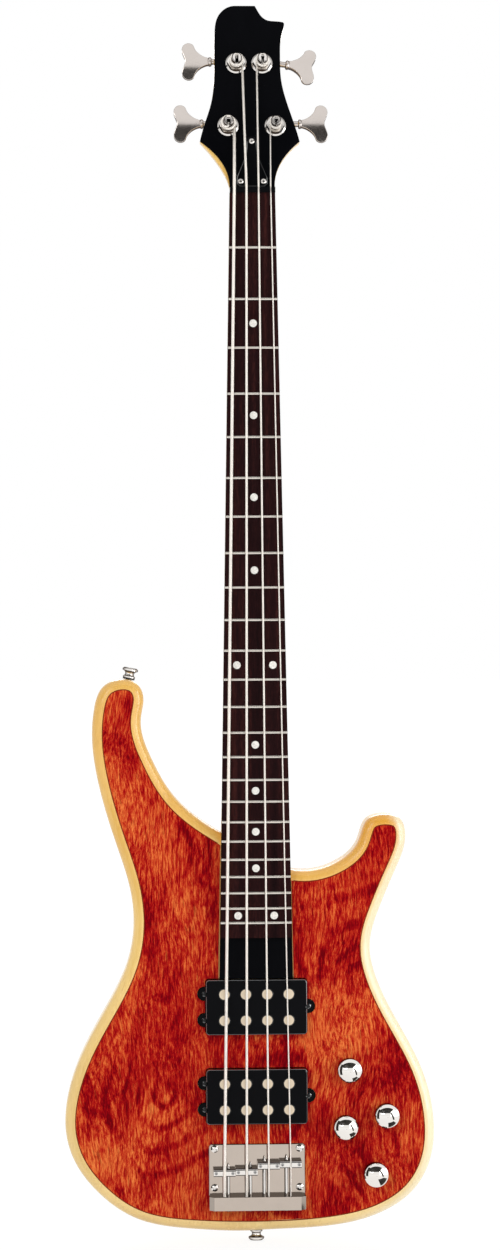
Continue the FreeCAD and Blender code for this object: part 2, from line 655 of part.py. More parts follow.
neck_pickup_centre = heel_end - dim.pickup_gap - dim.pickup_height / 2
bridge_pickup_centre = saddle_line + dim.bridge_pickup_set
PICKUPS = [("neck", neck_pickup_centre), ("bridge", bridge_pickup_centre)]
pickup_front = body_front - dim.pickup_stand
ear_front = body_front - dim.ear_stand
spread = dim.body_width / TEMPLATE_WIDTH
knob_places = [(name, across * spread, saddle_line + along) for name, across, along in KNOBS]
cavity_points = [(across * spread, saddle_line + along) for across, along in CONTROL_CAVITY]
cover_front = body_back - dim.control_cover_thickness
jack_z = saddle_line + dim.jack_drop
neck_screw_places = [(side * dim.neck_screw_across / 2, heel_end + dim.neck_screw_edge + row)
                     for side in (-1, 1) for row in (0, dim.neck_screw_along)]
plate_front_z = saddle_line + dim.plate_front
plate_end_z = plate_front_z - dim.plate_length
tail_front_z = plate_end_z + dim.tail_length
plate_screw_places = [(side * dim.plate_screw_across / 2, plate_front_z - dim.plate_screw_edge - row)
                      for side in (-1, 1) for row in (0, dim.plate_screw_along)]


def grown(points, amount):
    """Polygon moved outward by a steady distance, given clockwise from above."""
    corners = [Vector(x, y, 0) for x, y in points]
    moved = []
    for i, corner in enumerate(corners):
        before = (corner - corners[i - 1]).normalize()
        after = (corners[(i + 1) % len(corners)] - corner).normalize()
        out = Vector(-before.y, before.x, 0) + Vector(-after.y, after.x, 0)
        out = out.normalize() * (amount / math.cos(before.getAngle(after) / 2))
        moved.append((corner.x + out.x, corner.y + out.y))
    return moved


def corner_points(points, radius, extra):
    """Middle of each rounded corner of a polygon, moved outward by an amount."""
    corners = [Vector(x, y, 0) for x, y in points]
    places = []
    for i, corner in enumerate(corners):
        to_last = (corners[i - 1] - corner).normalize()
        to_next = (corners[(i + 1) % len(corners)] - corner).normalize()
        inward = (to_last + to_next).normalize()
        place = corner + inward * (radius / math.sin(to_last.getAngle(to_next) / 2) - radius - extra)
        places.append((place.x, place.y))
    return places


cover_points = grown(cavity_points, dim.control_lip)
cover_screw_places = corner_points(cavity_points, CONTROL_CORNER, dim.control_lip / 2)


def rim_crossing(z):
    """Across position of the treble rim at a height, on the body outline."""
    edge = body_outline().toShape()
    line = Part.LineSegment(Vector(0, z, 0), Vector(dim.body_width, z, 0)).toShape()
    return max(point.x for pair in edge.distToShape(line)[1] for point in pair)


jack_rim = rim_crossing(jack_z)


def through(name, diameter, across, along, front=None, length="body_thickness + 2"):
    """Round hole toward the back, by default right through the body."""
    start = body_front - 1 if front is None else front
    return cylinder(name, diameter, length, Vector(across, start, along), BACKWARD)


def countersink(name, base, axis, diameter, head):
    """Hole for a countersunk screw, wide end at the base."""
    r, big = diameter / 2 + dim.fit, head / 2 + dim.fit
    profile = [(0, -2), (big, -2), (big, 0), (r, big - r), (r, dim.body_thickness), (0, dim.body_thickness)]
    return turned(name, profile, base, axis)


def pickup_holes(prefix, front):
    """Cavity outlines of both pickups and their ears, from a front plane down."""
    tools = []
    for place, centre in PICKUPS:
        main = pickup_outline(centre, dim.pickup_clearance)
        tools.append(slab(f"{prefix}_{place}_well", main, front, "pickup_well + 1"))
        for i, (across, along) in enumerate(ear_places(centre)):
            tab = ear_outline(across, along, dim.pickup_clearance)
            tools.append(slab(f"{prefix}_{place}_ear_{i}", tab, front, "ear_well + 1"))
    return tools


def strap_seats():
    """Seat point and axis of each strap button on the rim."""
    curve = body_outline()
    first, last = curve.FirstParameter, curve.LastParameter
    rim = [curve.value(first + (last - first) * i / 2000) for i in range(2000)]
    lean = math.radians(dim.strap_tilt)
    horn_axis = Vector(math.sin(lean), 0, math.cos(lean))
    horn = max(rim, key=lambda p: p.x * horn_axis.x + p.y * horn_axis.z)
    tail = min((p for p in rim if abs(p.x) < dim.felt_diameter / 2), key=lambda p: p.y)
    return [("horn", Vector(horn.x, body_middle, horn.y) + horn_axis * 2 * dim.fit, horn_axis),
            ("tail", Vector(0, body_middle, tail.y - 2 * dim.fit), Vector(0, 0, -1))]


def make_body_core():
    """Maple core: rounded outline with recess for the top, pocket, cavities and drilled holes."""
    body, pad = padded("body_blank", spans(body_outline()), body_front, "body_thickness")
    front = dress(body, "Fillet", pad, edges_on(pad, body_front), "front_round")
    dress(body, "Fillet", front, edges_on(front, body_back), "back_round")
    recess = spans(inset_outline(dim.front_round + dim.top_land))
    pocket(body, "top_recess", recess, body_front, "top_thickness")
    low = heel_end - dim.pickup_gap - dim.pickup_clearance
    joint = neck_trapezoid(low, 0, dim.pocket_clearance)
    tools = [slab("neck_pocket", joint, body_front - 1, "heel_depth - neck_stand + 1")]
    tools += pickup_holes("cavity", body_front - 1)
    tools.append(slab("control_cavity", rounded(cavity_points, CONTROL_CORNER), body_front + dim.control_wall,
                      "body_thickness"))
    tools.append(slab("cover_recess", rounded(cover_points, CONTROL_CORNER + dim.control_lip),
                      cover_front - dim.control_cover_sink, "body_thickness"))
    wire_depth = body_front + dim.ear_well + dim.wire_hole
    tools.append(cylinder("pickup_wire_hole", "wire_hole", str(neck_pickup_centre - bridge_pickup_centre),
                          Vector(0, wire_depth, bridge_pickup_centre), Vector(0, 0, 1)))
    wire_start = Vector(0, wire_depth, bridge_pickup_centre)
    wire_run = Vector(knob_places[0][1], wire_depth, knob_places[0][2]) - wire_start
    tools.append(cylinder("control_wire_hole", "wire_hole", str(wire_run.Length), wire_start, wire_run))
    for i, (_, across, along) in enumerate(knob_places):
        tools.append(through(f"bush_hole_{i}", "bush_diameter + 2 * bush_clearance", across, along,
                             length="control_wall + 2"))
    for i, (across, along) in enumerate(neck_screw_places):
        tools.append(through(f"neck_screw_hole_{i}", "neck_screw + 2 * fit", across, along))
        tools.append(through(f"ferrule_hole_{i}", "ferrule + 2 * fit", across, along,
                             body_back - dim.ferrule_depth - dim.ferrule_sink, "ferrule_depth + 2"))
    for i, (across, along) in enumerate(plate_screw_places):
        tools.append(through(f"plate_pilot_{i}", "plate_screw + 2 * fit", across, along, plate_top,
                             "plate_screw_length + fit"))
    for place, centre in PICKUPS:
        for i, (across, along) in enumerate(ear_places(centre)):
            tools.append(through(f"{place}_pickup_pilot_{i}", "small_screw + 2 * fit", across, along,
                                 ear_front, "pickup_screw_length + fit"))
    for i, (across, along) in enumerate(cover_screw_places):
        tools.append(cylinder(f"cover_pilot_{i}", "small_screw + 2 * fit", "small_screw_length + fit",
                              Vector(across, body_back, along), FORWARD))
    for place, seat, axis in strap_seats():
        tools.append(cylinder(f"strap_pilot_{place}", "strap_screw + 2 * fit", "strap_screw_length + fit",
                              seat + axis * (dim.felt_thickness + dim.strap_height), axis.negative()))
    face = jack_rim - dim.jack_sink
    tools.append(cylinder("jack_recess", "jack_flange + 2 * jack_clearance", "jack_flange_thickness + 5",
                          Vector(face - dim.jack_flange_thickness, body_middle, jack_z), Vector(1, 0, 0)))
    tools.append(cylinder("jack_hole", "jack_sleeve + 2 * jack_clearance", "jack_length",
                          Vector(face - dim.jack_length, body_middle, jack_z), Vector(1, 0, 0)))
    return cut("body_core", body, tools)


def make_body_top():
    """Thin figured top, flush in the core's recess."""
    outline = spans(inset_outline(dim.front_round + dim.top_land + dim.fit))
    sheet_of_wood = slab("top_blank", outline, body_front, "top_thickness")
    low = heel_end - dim.pickup_gap - dim.pickup_clearance
    joint = neck_trapezoid(low, 0, dim.pocket_reveal)
    tools = [slab("top_neck_slot", joint, body_front - 1, "top_thickness + 2")]
    tools += pickup_holes("top", body_front - 1)
    for i, (_, across, along) in enumerate(knob_places):
        tools.append(through(f"top_bush_hole_{i}", "bush_diameter + 2 * bush_clearance", across, along))
    for i, (across, along) in enumerate(plate_screw_places):
        tools.append(through(f"top_plate_pilot_{i}", "plate_screw + 2 * fit", across, along))
    return cut("body_top", sheet_of_wood, tools)


def make_control_cover():
    """Flat rear cover and its countersunk screws."""
    outline = rounded(grown(cavity_points, dim.control_lip - dim.control_cover_gap),
                      CONTROL_CORNER + dim.control_lip - dim.control_cover_gap)
    front = cover_front - dim.control_cover_sink
    blank = slab("cover_blank", outline, front, "control_cover_thickness")
    outer = body_back - dim.control_cover_sink
    seats = [Vector(across, outer, along) for across, along in cover_screw_places]
    holes = [countersink(f"cover_hole_{i}", seat, FORWARD, dim.small_screw, dim.small_screw_head)
             for i, seat in enumerate(seats)]
    screws = [wood_screw(f"cover_screw_{i}", seat, FORWARD, dim.small_screw, dim.small_screw_head,
                         dim.small_screw_length) for i, seat in enumerate(seats)]
    return [cut("control_cover", blank, holes), group("control_cover_screws", screws)]


def neck_section(name, z, depth, flat, flank):
    """Section across the neck: flat glue face, straight flanks, rounded back with a flat."""
    w, f = half_width(z), flat / 2
    rx, ry, k = w - f, depth - flank, QUARTER_ARC
    def at(x, y):
        return Vector(x, y, z)
    treble, bass = Part.BezierCurve(), Part.BezierCurve()
    treble.setPoles([at(w, flank), at(w, flank + k * ry), at(f + k * rx, depth), at(f, depth)])
    bass.setPoles([at(-f, depth), at(-f - k * rx, depth), at(-w, flank + k * ry), at(-w, flank)])
    edges = [Part.LineSegment(at(-w, 0), at(w, 0)), Part.LineSegment(at(w, 0), at(w, flank)), treble,
             Part.LineSegment(at(f, depth), at(-f, depth)), bass, Part.LineSegment(at(-w, flank), at(-w, 0))]
    section = doc.addObject("Part::Feature", name)
    section.Shape = Part.Wire([edge.toShape() for edge in edges])
    return section


def loft(name, sections):
    """Straight-ruled solid through sections."""
    form = doc.addObject("Part::Loft", name)
    form.Sections = sections
    form.Solid = True
    form.Ruled = True
    return form


def shoulder_curve(side, sweep):
    """Shoulder of the head: half width grows with a power of the rise, from the nut to the corner."""
    reach = dim.bass_shoulder if side < 0 else dim.treble_shoulder
    nut = half_width(dim.nut_thickness)
    points = []
    for step in range(7):
        share = step / 6
        points.append((side * (nut + (reach - nut) * share ** sweep), dim.shoulder_rise * share))
    return points


def treble_edge(point):
    """Treble side of the head from its shoulder to below the hook's point."""
    waist, rise, end = dim.treble_waist, dim.shoulder_rise, point - dim.hook_round
    flare = dim.treble_shoulder - waist
    edge = [(waist + out * flare, rise + up * (end - rise)) for up, out in TREBLE_EDGE]
    edge += [(waist + out * dim.hook_flare, rise + up * (end - rise)) for up, out in HOOK_FLANK]
    return edge + [(waist + dim.hook_flare, end)]


def bass_edge():
    """Bass side of the head from its top over the round corner to its shoulder."""
    waist, rise, top = dim.bass_waist, dim.shoulder_rise, dim.head_length
    end = top - dim.crown_drop
    flare, wide, drop = dim.bass_shoulder - waist, dim.crown_width, dim.crown_drop
    corner = [(-waist + inward * wide, top - down * drop) for inward, down in CROWN_CORNER]
    side = [(-waist - out * flare, rise + up * (end - rise)) for up, out in BASS_EDGE]
    return corner + [(-waist, end)] + side[::-1]


def head_outline(bass_sweep=FACE_SWEEP):
    """Head face outline: flared shoulders, waisted sides, round bass corner and hooked treble tip."""
    point = dim.head_length - dim.hook_drop
    treble_low, bass_low = shoulder_curve(1, FACE_SWEEP), shoulder_curve(-1, bass_sweep)
    treble, bass, r = treble_edge(point), bass_edge(), dim.hook_round
    tip = treble[-1][0]
    bend = r * (1 - math.sqrt(0.5))
    hook = [(tip - r - inward * (dim.hook_span - r), point + up * dim.hook_drop) for inward, up in HOOK_CURVE]
    nose = [Vector(*treble[-1], 0), Vector(tip - bend, point - bend, 0), Vector(*hook[0], 0)]
    return [Part.LineSegment(Vector(*bass_low[0], 0), Vector(*treble_low[0], 0)), spline(treble_low),
            spline(treble), Part.Arc(*nose), spline(hook),
            Part.LineSegment(Vector(*hook[-1], 0), Vector(*bass[0], 0)), spline(bass), spline(bass_low[::-1])]


def head_bar(name, diameter, length, across, depth, rise):
    """Round bar square to the head face, from a depth toward the back."""
    return cylinder(name, diameter, length, HEAD.multVec(Vector(across, depth, rise)),
                    HEAD.Rotation.multVec(BACKWARD))


def make_neck():
    """Maple neck with head, heel, truss rod channel and drilled holes."""
    share = half_width(-dim.shaft_length) / half_width(0)
    swell_end = -dim.shaft_length - dim.swell_length
    full = [dim.shaft_depth, dim.neck_flat * share, dim.neck_flank]
    heel = [dim.heel_depth, 2 * (half_width(swell_end) - dim.heel_corner), dim.heel_depth - dim.heel_corner]
    head_end = neck_section("section_nut", dim.nut_thickness, dim.neck_depth, dim.neck_flat, dim.neck_flank)
    swell = []
    for step in range(6):
        ease = (step / 5) ** 2 * (3 - 2 * step / 5)
        z = -dim.shaft_length - dim.swell_length * step / 5
        swell.append(neck_section(f"section_swell_{step}", z,
                                  *[a + (b - a) * ease for a, b in zip(full, heel)]))
    heel_flat = 2 * (half_width(heel_end) - dim.heel_corner)
    end = neck_section("section_heel", heel_end, dim.heel_depth, heel_flat, heel[2])
    flat_head = slab("head_slab", head_outline(WOOD_SWEEP), dim.head_face_thickness,
                     "neck_depth * cos(head_tilt * 1deg) - head_face_thickness")
    doc.recompute()
    shoulders = doc.addObject("Part::Fillet", "head_wood")
    shoulders.Base = flat_head
    rounding = []
    for i, edge in enumerate(flat_head.Shape.Edges, start=1):
        box = edge.BoundBox
        if box.YMin > head_depth - 0.01 and box.ZMax < dim.shoulder_rise + 0.01 and box.ZLength > 1:
            rounding.append((i, dim.shoulder_round, dim.shoulder_round))
    shoulders.Edges = rounding
    shoulders.Placement = HEAD
    blank = fused("neck_blank", [loft("neck_shaft", [head_end, swell[0]]), loft("heel_swell", swell),
                                 loft("heel_block", [swell[-1], end]), shoulders])
    rod_half = dim.rod_diameter / 2 + dim.rod_clearance
    tools = [block("rod_channel", Vector(-rod_half, -1, -dim.rod_length - 1),
                   "rod_diameter + 2 * rod_clearance", "rod_depth + rod_diameter / 2 + rod_clearance + 1",
                   "rod_length + nut_thickness + 2"),
             slab("face_seat", head_outline(), -1, "head_face_thickness + 1", HEAD),
             *head_tools(), *head_pilots()]
    for i, (across, along) in enumerate(neck_screw_places):
        tools.append(through(f"neck_pilot_{i}", "neck_screw + 2 * fit", across, along,
                             dim.neck_screw_cover - dim.fit, "heel_depth"))
    return cut("neck", blank, tools)


def head_tools():
    """Holes shared by the head and its black face: tuner bushings and the truss rod well."""
    low = Vector(-dim.rod_well_width / 2, -5, dim.nut_thickness + dim.rod_well_gap)
    tools = [block("rod_well", low, "rod_well_width", "rod_depth + rod_nut_diameter / 2 + rod_clearance + 5",
                   "rod_well_length")]
    for letter, _, side in STRINGS:
        across, rise = post_place(letter, side)
        tools.append(head_bar("bushing_hole_" + letter, "bushing_sleeve + 2 * fit", "neck_depth + 2",
                              across, -1, rise))
    for i, (across, rise) in enumerate(cover_plate_screws()):
        tools.append(head_bar(f"cover_plate_pilot_{i}", "small_screw + 2 * fit", "cover_screw_length + 1",
                              across, -1, rise))
    return tools


def head_pilots():
    """Blind holes for the tuner housings' screws, from behind the head."""
    tip = head_depth - dim.tuner_screw_length + dim.lug_thickness - 1
    pilots = []
    for letter, _, side in STRINGS:
        across, rise = lug_place(letter, side)
        hole = tuner_twist(letter, side).multVec(Vector(across, tip, rise))
        pilots.append(head_bar("housing_pilot_" + letter, "small_screw + 2 * fit", "tuner_screw_length",
                               hole.x, hole.y, hole.z))
    return pilots


def lug_place(letter, side):
    """Fixing screw of a tuner housing on the head."""
    across, rise = post_place(letter, side)
    return across - side * dim.lug_diameter / 2, rise - dim.housing_low - dim.lug_diameter / 4


def cover_plate_screws():
    """Truss rod cover screws on the head face."""
    low = dim.cover_plate_gap + dim.cover_screw_inset
    high = dim.cover_plate_gap + dim.cover_plate_length - dim.cover_screw_inset
    side = dim.cover_plate_width / 2 - dim.cover_screw_side
    return [(0, high), (-side, low), (side, low)]


def make_head_face():
    """Black face on the head."""
    blank = slab("head_face_blank", head_outline(), 0, "head_face_thickness", HEAD)
    return cut("headstock_face", blank, head_tools())


def make_fingerboard():
    """Crowned board, its frets as crowned bars and its inlaid dots."""
    crown_axis = dim.board_radius - dim.board_thickness
    blank = slab("board_blank", neck_trapezoid(board_end, 0), -dim.board_thickness, "board_thickness")
    crown = cylinder("board_crown", "2 * board_radius", str(2 - board_end),
                     Vector(0, crown_axis, board_end - 1), Vector(0, 0, 1))
    shaped = doc.addObject("Part::Common", "board_shaped")
    shaped.Base, shaped.Tool = blank, crown
    frets = []
    big, w, high = dim.board_radius, dim.fret_width / 2, dim.fret_height
    span = 1 - 2 ** (-dim.fret_count / 12)
    for number in range(1, int(dim.fret_count) + 1):
        z = fret_height_at(number)
        fret = turned(f"fret_{number}", [(big, -w), ((big + high, 0), (big, w))])
        share = (1 - 2 ** (-number / 12)) / span
        bind(fret, Angle=f"2 * asin((nut_width / 2 + (neck_width - nut_width) / 2 * {share} - fret_inset)"
                         " / board_radius)")
        half_angle = math.degrees(math.asin((half_width(z) - dim.fret_inset) / big))
        fret.Placement = Placement(Vector(0, crown_axis, z), Rotation(Vector(0, 0, 1), -90 - half_angle))
        frets.append(fret)
    dots, holes = [], []
    places = [(0, number) for number in SINGLE_DOT_FRETS]
    places += [(side * dim.dot_pair / 2, number) for number in DOUBLE_DOT_FRETS for side in (-1, 1)]
    for i, (across, number) in enumerate(places):
        z = (fret_height_at(number) + fret_height_at(number - 1)) / 2
        lean = math.asin(across / big)
        normal = Vector(math.sin(lean), -math.cos(lean), 0)
        floor = Vector(0, crown_axis, z) + normal * (big - dim.dot_depth)
        dots.append(cylinder(f"dot_{i}", "dot_diameter", "dot_depth - fit", floor, normal))
        holes.append(cylinder(f"dot_hole_{i}", "dot_diameter + 2 * fit", "dot_depth + 1", floor, normal))
    return [cut("fingerboard", shaped, holes), group("frets", frets), group("position_dots", dots)]


def make_heel_face():
    """Black face on the heel between board and neck pickup."""
    outline = neck_trapezoid(heel_end, board_end)
    return slab("heel_face", outline, -dim.heel_face_thickness, "heel_face_thickness")


def make_nut():
    """Nut with a round-bottomed notch for each string."""
    w, top = dim.nut_width / 2, dim.board_thickness + dim.nut_stand
    def crest(x):
        return Vector(x, -top + x ** 2 / (2 * dim.board_radius), 0)
    here, edges = crest(w), [Part.LineSegment(Vector(-w, 0, 0), Vector(w, 0, 0)),
                             Part.LineSegment(Vector(w, 0, 0), crest(w))]
    for letter, order, _ in reversed(STRINGS):
        run = string_data(letter, order)
        r, axis = run.gauge / 2 + dim.string_seat, Vector(run.at_nut, run.nut_under - run.gauge / 2, 0)
        edge_in, edge_out = crest(run.at_nut + r), crest(run.at_nut - r)
        side_in, side_out = axis + Vector(r, 0, 0), axis - Vector(r, 0, 0)
        edges += [Part.LineSegment(here, edge_in), Part.LineSegment(edge_in, side_in),
                  Part.Arc(side_in, axis + Vector(0, r, 0), side_out), Part.LineSegment(side_out, edge_out)]
        here = edge_out
    edges += [Part.LineSegment(here, crest(-w)), Part.LineSegment(crest(-w), Vector(-w, 0, 0))]
    sketch = doc.addObject("Sketcher::SketchObject", "nut_outline")
    sketch.addGeometry(edges, False)
    bar = doc.addObject("Part::Extrusion", "nut")
    bar.Base, bar.DirMode, bar.Dir, bar.Solid = sketch, "Custom", Vector(0, 0, 1), True
    return bind(bar, LengthFwd="nut_thickness")


def make_truss_rod():
    """Rod in the neck with its socket nut in the head's well."""
    foot = Vector(0, dim.rod_depth, -dim.rod_length)
    nut = Vector(0, dim.rod_depth, dim.nut_thickness + dim.rod_nut_set)
    rod = cylinder("rod_bar", "rod_diameter", "rod_length + nut_thickness + 2 * rod_nut_set", foot,
                   Vector(0, 0, 1))
    barrel = cylinder("rod_nut", "rod_nut_diameter", "rod_nut_length", nut, Vector(0, 0, 1))
    socket = prism("rod_socket", "rod_key", "rod_nut_length", nut + Vector(0, 0, dim.rod_nut_length / 2),
                   Vector(0, 0, 1))
    return cut("truss_rod", fused("rod_and_nut", [rod, barrel]), [socket])


def make_truss_cover():
    """Bell-shaped cover over the truss rod well, with three small screws."""
    low, high = dim.cover_plate_gap, dim.cover_plate_gap + dim.cover_plate_length
    w, r, corner = dim.cover_plate_width / 2, dim.cover_plate_top / 2, dim.cover_plate_corner
    flank = [(w - inward * (w - r), low + up * dim.cover_plate_length) for up, inward in COVER_FLANK]
    flank.append((r, high - r))
    mirror = [(-x, y) for x, y in flank[::-1]]
    foot = [(-w, low + corner), (-w + corner, low), (w - corner, low), (w, low + corner), flank[0]]
    edges = [Part.LineSegment(Vector(*a, 0), Vector(*b, 0)) for a, b in zip([mirror[-1]] + foot, foot)]
    edges += [spline(flank), Part.Arc(Vector(r, high - r, 0), Vector(0, high, 0), Vector(-r, high - r, 0)),
              spline(mirror)]
    front = -dim.cover_plate_thickness
    body, pad = padded("truss_rod_cover", edges, front, "cover_plate_thickness")
    dress(body, "Chamfer", pad, edges_on(pad, front), "cover_plate_thickness / 4")
    screws = []
    for i, (across, rise) in enumerate(cover_plate_screws()):
        pocket(body, f"cover_plate_hole_{i}", ring(across, rise, dim.small_screw + 2 * dim.fit), front,
               "cover_plate_thickness")
        screws.append(wood_screw(f"cover_plate_screw_{i}", Vector(across, front, rise), BACKWARD,
                                 dim.small_screw, dim.small_screw_head, dim.cover_screw_length,
                                 dim.small_head_height))
    body.Placement = HEAD
    return [body, group("truss_cover_screws", screws, HEAD)]


def make_neck_fixings():
    """Four screws through flush ferrules in the back."""
    screws, ferrules = [], []
    seat_y = body_back - dim.ferrule_sink
    for i, (across, along) in enumerate(neck_screw_places):
        seat = Vector(across, seat_y, along)
        screws.append(wood_screw(f"neck_screw_{i}", seat, FORWARD, dim.neck_screw, 2 * dim.neck_screw,
                                 seat_y - dim.neck_screw_cover))
        r, big = dim.neck_screw / 2 + dim.fit, dim.neck_screw + dim.fit
        wall, deep, edge = dim.ferrule / 2, dim.ferrule_depth, dim.ferrule_edge
        ferrules.append(turned(f"ferrule_{i}", [(r, deep), (wall, deep), (wall, edge), (wall - edge, 0),
                                                (big, 0), (r, big - r)], seat, FORWARD))
    return [group("neck_screws", screws), group("neck_ferrules", ferrules)]


def make_pickups():
    """Two pickups: shell covers with ears, coils, poles, foam and screws."""
    covers, coils, poles, foams, screws = [], [], [], [], []
    inner_front = pickup_front + dim.pickup_wall
    foam_front = pickup_front - dim.pole_stand + dim.pole_length
    for place, centre in PICKUPS:
        body, pad = padded(f"{place}_cover_shell", pickup_outline(centre), pickup_front, "pickup_depth")
        dress(body, "Fillet", pad, edges_on(pad, pickup_front), "pickup_edge")
        ears = [slab(f"{place}_ear_{i}", ear_outline(*ear), ear_front, "ear_thickness")
                for i, ear in enumerate(ear_places(centre))]
        tools = [slab(f"{place}_cover_inside", pickup_outline(centre, -dim.pickup_wall), inner_front,
                      "pickup_depth")]
        for row in (-1, 1):
            along = centre + row * dim.pole_rows / 2
            coil = slab(f"{place}_coil_{row + 1}", rectangle(0, along, 3 * dim.pole_pitch + dim.coil_width,
                                                           dim.coil_width, dim.coil_width * 0.45),
                        inner_front + dim.fit, "coil_depth")
            bores = []
            for column in range(4):
                across = (column - 1.5) * dim.pole_pitch
                key = f"{place}_{row + 1}_{column}"
                front = Vector(across, pickup_front - dim.pole_stand, along)
                poles.append(cylinder("pole_" + key, "pole_diameter", "pole_length", front, BACKWARD))
                bores.append(cylinder("pole_bore_" + key, "pole_diameter + 2 * pole_fit", "pole_length + 1",
                                      front, BACKWARD))
            tools += bores
            coils.append(cut(f"{place}_wound_coil_{row + 1}", coil, bores))
        for i, (across, along) in enumerate(ear_places(centre)):
            seat = Vector(across, ear_front, along)
            tools.append(through(f"{place}_ear_hole_{i}", "small_screw + 2 * fit", across, along,
                                 ear_front - 1, "ear_thickness + 2"))
            tools.append(cylinder(f"{place}_ear_room_{i}", "small_screw_head + 2 * string_seat",
                                  "pickup_stand", seat, FORWARD))
            screws.append(wood_screw(f"{place}_pickup_screw_{i}", seat, BACKWARD, dim.small_screw,
                                     dim.small_screw_head, dim.pickup_screw_length, dim.small_head_height))
        covers.append(cut(f"{place}_pickup_cover", fused(f"{place}_cover_eared", [body, *ears]), tools))
        pad_outline = rectangle(0, centre, 3 * dim.pole_pitch + dim.coil_width,
                                dim.pole_rows + dim.coil_width, dim.pickup_corner)
        foams.append(slab(f"{place}_foam", pad_outline, foam_front,
                          "pickup_well + pickup_stand + pole_stand - pole_length"))
    return covers + [group("pickup_coils", coils), group("pickup_poles", poles), group("pickup_foam", foams),
                     group("pickup_screws", screws)]


def side_slab(name, geometry, start, length):
    """Side outline given a length across, geometry as (down the neck, depth)."""
    sketch = doc.addObject("Sketcher::SketchObject", name + "_outline")
    sketch.Placement = Placement(Vector(start, 0, 0), Rotation(Vector(0, 1, 0), 90))
    sketch.addGeometry(geometry, False)
    bar = doc.addObject("Part::Extrusion", name)
    bar.Base, bar.DirMode, bar.Dir, bar.Solid = sketch, "Custom", Vector(1, 0, 0), True
    return bind(bar, LengthFwd=length)


def intonation_axis(run):
    """Intonation screw beside its string: across and depth."""
    return run.at_saddle + run.inward * dim.intonation_offset, plate_top - dim.intonation_rise


def make_bridge_plate():
    """Plate with its bevelled tail block, drilled for strings and screws, and the plate's screws."""
    w, r = dim.plate_width / 2, dim.plate_corner
    top, bend = plate_front_z, r * (1 - math.sqrt(0.5))
    a, b = Vector(w, top - r, 0), Vector(w - r, top, 0)
    c, d = Vector(-w + r, top, 0), Vector(-w, top - r, 0)
    low_bass, low_treble = Vector(-w, plate_end_z, 0), Vector(w, plate_end_z, 0)
    outline = [Part.LineSegment(low_bass, low_treble), Part.LineSegment(low_treble, a),
               Part.Arc(a, Vector(w - bend, top - bend, 0), b), Part.LineSegment(b, c),
               Part.Arc(c, Vector(-w + bend, top - bend, 0), d), Part.LineSegment(d, low_bass)]
    body, pad = padded("bridge_base", outline, plate_top, "plate_thickness")
    dress(body, "Chamfer", pad, edges_on(pad, plate_top), "plate_thickness / 5")
    crest = plate_top - dim.tail_height
    tail = doc.addObject("Part::Extrusion", "tail_block")
    profile = doc.addObject("Sketcher::SketchObject", "tail_block_outline")
    profile.Placement.Base = Vector(0, 0, plate_end_z)
    bevel = dim.tail_bevel
    profile.addGeometry(segments([(-w, body_front), (-w, crest + bevel), (-w + bevel, crest),
                                  (w - bevel, crest), (w, crest + bevel), (w, body_front)]), False)
    tail.Base, tail.DirMode, tail.Dir, tail.Solid = profile, "Custom", Vector(0, 0, 1), True
    bind(tail, LengthFwd="tail_length")
    up = Vector(0, 0, 1)
    tools = []
    for letter, order, _ in STRINGS:
        run = string_data(letter, order)
        hole = Vector(run.at_saddle, plate_top - dim.string_hole_rise, plate_end_z - 1)
        tools.append(cylinder("string_hole_" + letter, f"gauge_{letter} + 4 * string_seat", "tail_length + 2",
                              hole, up))
        tools.append(cylinder("ball_seat_" + letter, "ball_diameter + string_seat",
                              "ball_length + ball_sink + 1", hole, up))
        across, depth = intonation_axis(run)
        tools.append(cylinder("intonation_hole_" + letter, "intonation_screw + 2 * screw_fit",
                              "tail_length + 2", Vector(across, depth, plate_end_z - 1), up))
    for i, (across, along) in enumerate(plate_screw_places):
        tools.append(through(f"plate_hole_{i}", "plate_screw + 2 * fit", across, along, plate_top - 1))
    screws = [wood_screw(f"plate_screw_{i}", Vector(across, plate_top, along), BACKWARD, dim.plate_screw,
                         dim.plate_screw_head, dim.plate_screw_length, dim.plate_head_height)
              for i, (across, along) in enumerate(plate_screw_places)]
    return [cut("bridge_plate", fused("bridge_casting", [body, tail]), tools), group("bridge_screws", screws)]


